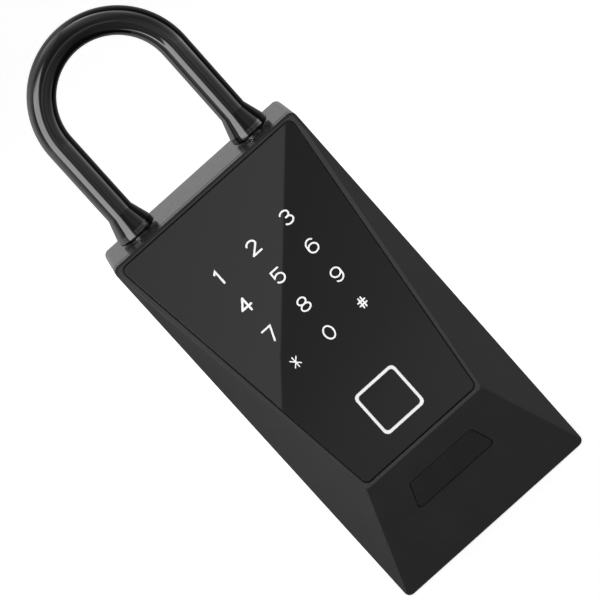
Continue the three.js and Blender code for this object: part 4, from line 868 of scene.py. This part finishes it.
def levels(tree, angle, stops):
    """The level at an angle: straight runs between (degrees, level) stops that span its whole range."""
    low, high = stops[0][0], stops[-1][0]
    span = add_node(tree, "MapRange", Value=angle, From_Min=math.radians(low), From_Max=math.radians(high))
    ramp = add_node(tree, "ValToRGB", Fac=span.outputs["Result"])
    elements = ramp.color_ramp.elements
    for i, (degrees, level) in enumerate(stops):
        place = (degrees - low) / (high - low)
        element = elements[i] if i < 2 else elements.new(place)
        element.position = place
        element.color = [level / TOP_LEVEL] * 3 + [1]
    return math_node(tree, "MULTIPLY", ramp.outputs["Color"], TOP_LEVEL)


def turn_round(tree, place):
    """The angle round the object: 0 in front, positive to the right."""
    return math_node(tree, "ARCTAN2", place["X"], math_node(tree, "MULTIPLY", place["Y"], -1.0))


def glowing(name, vertices, faces):
    """A studio surface that only gloss sees. Gives its node tree and its emission node."""
    piece = mesh_piece(name, vertices, faces)
    material = bpy.data.materials.new(name)
    material.use_nodes = True
    tree = material.node_tree
    tree.nodes.remove(tree.nodes["Principled BSDF"])
    glow = add_node(tree, "Emission")
    tree.links.new(glow.outputs["Emission"], tree.nodes["Material Output"].inputs["Surface"])
    piece.data.materials.append(material)
    piece.visible_camera = piece.visible_diffuse = piece.visible_shadow = False
    piece.visible_transmission = piece.visible_volume_scatter = False
    return tree, glow


def floor():
    """A pale floor, topped up to white for the eye, so that only shadow shows. It is left out where the
    opened door dips under it."""
    outline = rectangle(-FLOOR_HALF, FLOOR_HALF, -FLOOR_HALF, FLOOR_HALF) + rectangle(*FLOOR_OPENING)
    faces = [[i, (i + 1) % 4, (i + 1) % 4 + 4, i + 4] for i in range(4)]
    piece = mesh_piece("floor", lifted(np.array(outline), FLOOR_HEIGHT), faces)
    material = bpy.data.materials.new("pale_floor")
    material.use_nodes = True
    tree = material.node_tree
    shader = tree.nodes["Principled BSDF"]
    feed(tree, shader.inputs["Base Color"], (FLOOR_COLOUR, FLOOR_COLOUR, FLOOR_COLOUR, 1))
    feed(tree, shader.inputs["Roughness"], FLOOR_ROUGHNESS)
    feed(tree, shader.inputs["Emission Color"], (1, 1, 1, 1))
    feed(tree, shader.inputs["Emission Strength"], math_node(tree, "MULTIPLY", seen(tree), FLOOR_TOP_UP))
    piece.data.materials.append(material)
    piece.visible_diffuse = piece.visible_glossy = False


def world():
    """White to the eye, in gloss and through glass; for the light it gives, a soft grey from above."""
    sky = bpy.data.worlds.new("studio")
    bpy.context.scene.world = sky
    sky.use_nodes = True
    tree = sky.node_tree
    split = add_node(tree, "SeparateXYZ", Vector=add_node(tree, "TexCoord").outputs["Generated"])
    height = add_node(tree, "MapRange", Value=split.outputs["Z"], From_Min=SKY_LOW, From_Max=SKY_HIGH,
                      To_Min=SKY_LOW_LEVEL, To_Max=SKY_HIGH_LEVEL)
    back = tree.nodes["Background"]
    feed(tree, back.inputs["Color"], (1, 1, 1, 1))
    feed(tree, back.inputs["Strength"], math_node(tree, "MAXIMUM", seen(tree), height.outputs["Result"]))


def studio_wall():
    """A dome, radius * (cos height * cos around, cos height * sin around, sin height), that only gloss sees.
    It has a bright band at the right, dark flags and pale walls."""
    around = np.linspace(0, 2 * np.pi, WALL_COLUMNS, endpoint=False)
    around, height = np.meshgrid(around, np.linspace(-np.pi / 2, np.pi / 2, WALL_ROWS))
    dome = [np.cos(height) * np.cos(around), np.cos(height) * np.sin(around), np.sin(height)]
    dome = np.stack(dome, -1) * WALL_RADIUS + (0, 0, WALL_MIDDLE)
    tree, glow = glowing("studio_wall", dome.reshape(-1, 3), quads(WALL_ROWS, WALL_COLUMNS, False).tolist())
    place = object_place(tree)
    turn = turn_round(tree, place)
    rise = math_node(tree, "DIVIDE", math_node(tree, "SUBTRACT", place["Z"], WALL_MIDDLE), WALL_RADIUS)
    lift = math_node(tree, "ARCSINE", rise)
    front, back = levels(tree, lift, FRONT_HEIGHT), levels(tree, lift, BACK_HEIGHT)
    change = math_node(tree, "SUBTRACT", back, front)
    by_height = math_node(tree, "MULTIPLY_ADD", change, levels(tree, turn, BEHIND), front)
    feed(tree, glow.inputs["Strength"], math_node(tree, "MULTIPLY", levels(tree, turn, AROUND), by_height))


def strip_light():
    """A tall lamp at the left, part of a cylinder, radius * (sin around, -cos around), that only gloss sees.
    It adds to what lies behind it, and its left part reaches lower."""
    around = np.radians(np.linspace(STRIP_LEFT, STRIP_RIGHT, STRIP_COLUMNS))
    around, height = np.meshgrid(around, np.linspace(STRIP_BOTTOM, STRIP_TOP, STRIP_ROWS))
    sheet = np.stack([STRIP_RADIUS * np.sin(around), -STRIP_RADIUS * np.cos(around), height], -1)
    faces = quads(STRIP_ROWS, STRIP_COLUMNS, False)
    open_faces = faces[np.arange(len(faces)) % STRIP_COLUMNS < STRIP_COLUMNS - 1]
    tree, glow = glowing("strip_light", sheet.reshape(-1, 3), open_faces.tolist())
    place = object_place(tree)
    turn = turn_round(tree, place)
    lift = math_node(tree, "ARCTAN2", math_node(tree, "SUBTRACT", place["Z"], STRIP_MIDDLE), STRIP_RADIUS)
    reach = math_node(tree, "MAXIMUM", levels(tree, turn, STRIP_LOW), levels(tree, lift, STRIP_FOOT))
    level = math_node(tree, "MULTIPLY", levels(tree, turn, STRIP), levels(tree, lift, STRIP_HEIGHT))
    feed(tree, glow.inputs["Strength"], math_node(tree, "MULTIPLY", level, reach))
    both = add_node(tree, "AddShader")
    clear = add_node(tree, "BsdfTransparent")
    tree.links.new(glow.outputs["Emission"], both.inputs[0])
    tree.links.new(clear.outputs["BSDF"], both.inputs[1])
    tree.links.new(both.outputs["Shader"], tree.nodes["Material Output"].inputs["Surface"])


def light_panel():
    """The flat panel that the glass mirrors, stronger towards its foot and its right side. Its slanting
    right edge draws the line across the numbers."""
    tree, glow = glowing("light_panel", np.array(PANEL_CORNERS), [[0, 1, 2, 3]])
    place = object_place(tree)
    level = math_node(tree, "MULTIPLY_ADD", place["X"], PANEL_RIGHTWARD, PANEL_LEVEL)
    feed(tree, glow.inputs["Strength"], math_node(tree, "MULTIPLY_ADD", place["Z"], PANEL_UPWARD, level))


def lamp(name, place, size, power):
    """A flat lamp, turned towards the aim, that lights but isn't seen."""
    light = bpy.data.lights.new(name, "AREA")
    light.shape = "RECTANGLE"
    light.size, light.size_y = size
    light.energy = power
    piece = bpy.data.objects.new(name, light)
    bpy.context.scene.collection.objects.link(piece)
    piece.rotation_mode = "QUATERNION"
    piece.rotation_quaternion = (Vector(LAMP_AIM) - Vector(place)).to_track_quat("-Z", "Y")
    piece.location = place
    piece.visible_camera = piece.visible_glossy = False


def camera():
    """The photograph's view, from about 1.07 m away and 12 degrees above level, rolled so that the case
    leans to the left."""
    elevation, roll = math.radians(CAMERA_ELEVATION), math.radians(CAMERA_ROLL)
    data = bpy.data.cameras.new("camera")
    data.lens, data.sensor_width, data.sensor_fit = LENS, SENSOR_WIDTH, "HORIZONTAL"
    data.clip_start, data.clip_end = CLIP_NEAR, CLIP_FAR
    piece = bpy.data.objects.new("camera", data)
    bpy.context.scene.collection.objects.link(piece)
    level = np.array([1, 0, 0])
    forward = np.array([0, math.cos(elevation), -math.sin(elevation)])
    down = np.array([0, -math.sin(elevation), -math.cos(elevation)])
    right = math.cos(roll) * level + math.sin(roll) * down
    up = math.sin(roll) * level - math.cos(roll) * down
    piece.rotation_mode = "QUATERNION"
    piece.rotation_quaternion = Matrix([[right[i], up[i], -forward[i]] for i in range(3)]).to_quaternion()
    piece.location = CAMERA_PLACE
    bpy.context.scene.camera = piece


floor()
world()
studio_wall()
strip_light()
camera()
light_panel()
lamp("front_light", **FRONT_LAMP)
for side in (-1, 1):
    lamp("side_light", (side * SIDE_LAMP_X, SIDE_LAMP_Y, SIDE_LAMP_Z), SIDE_LAMP_SIZE, SIDE_LAMP_POWER)

bpy.context.scene.view_settings.view_transform = "Standard"
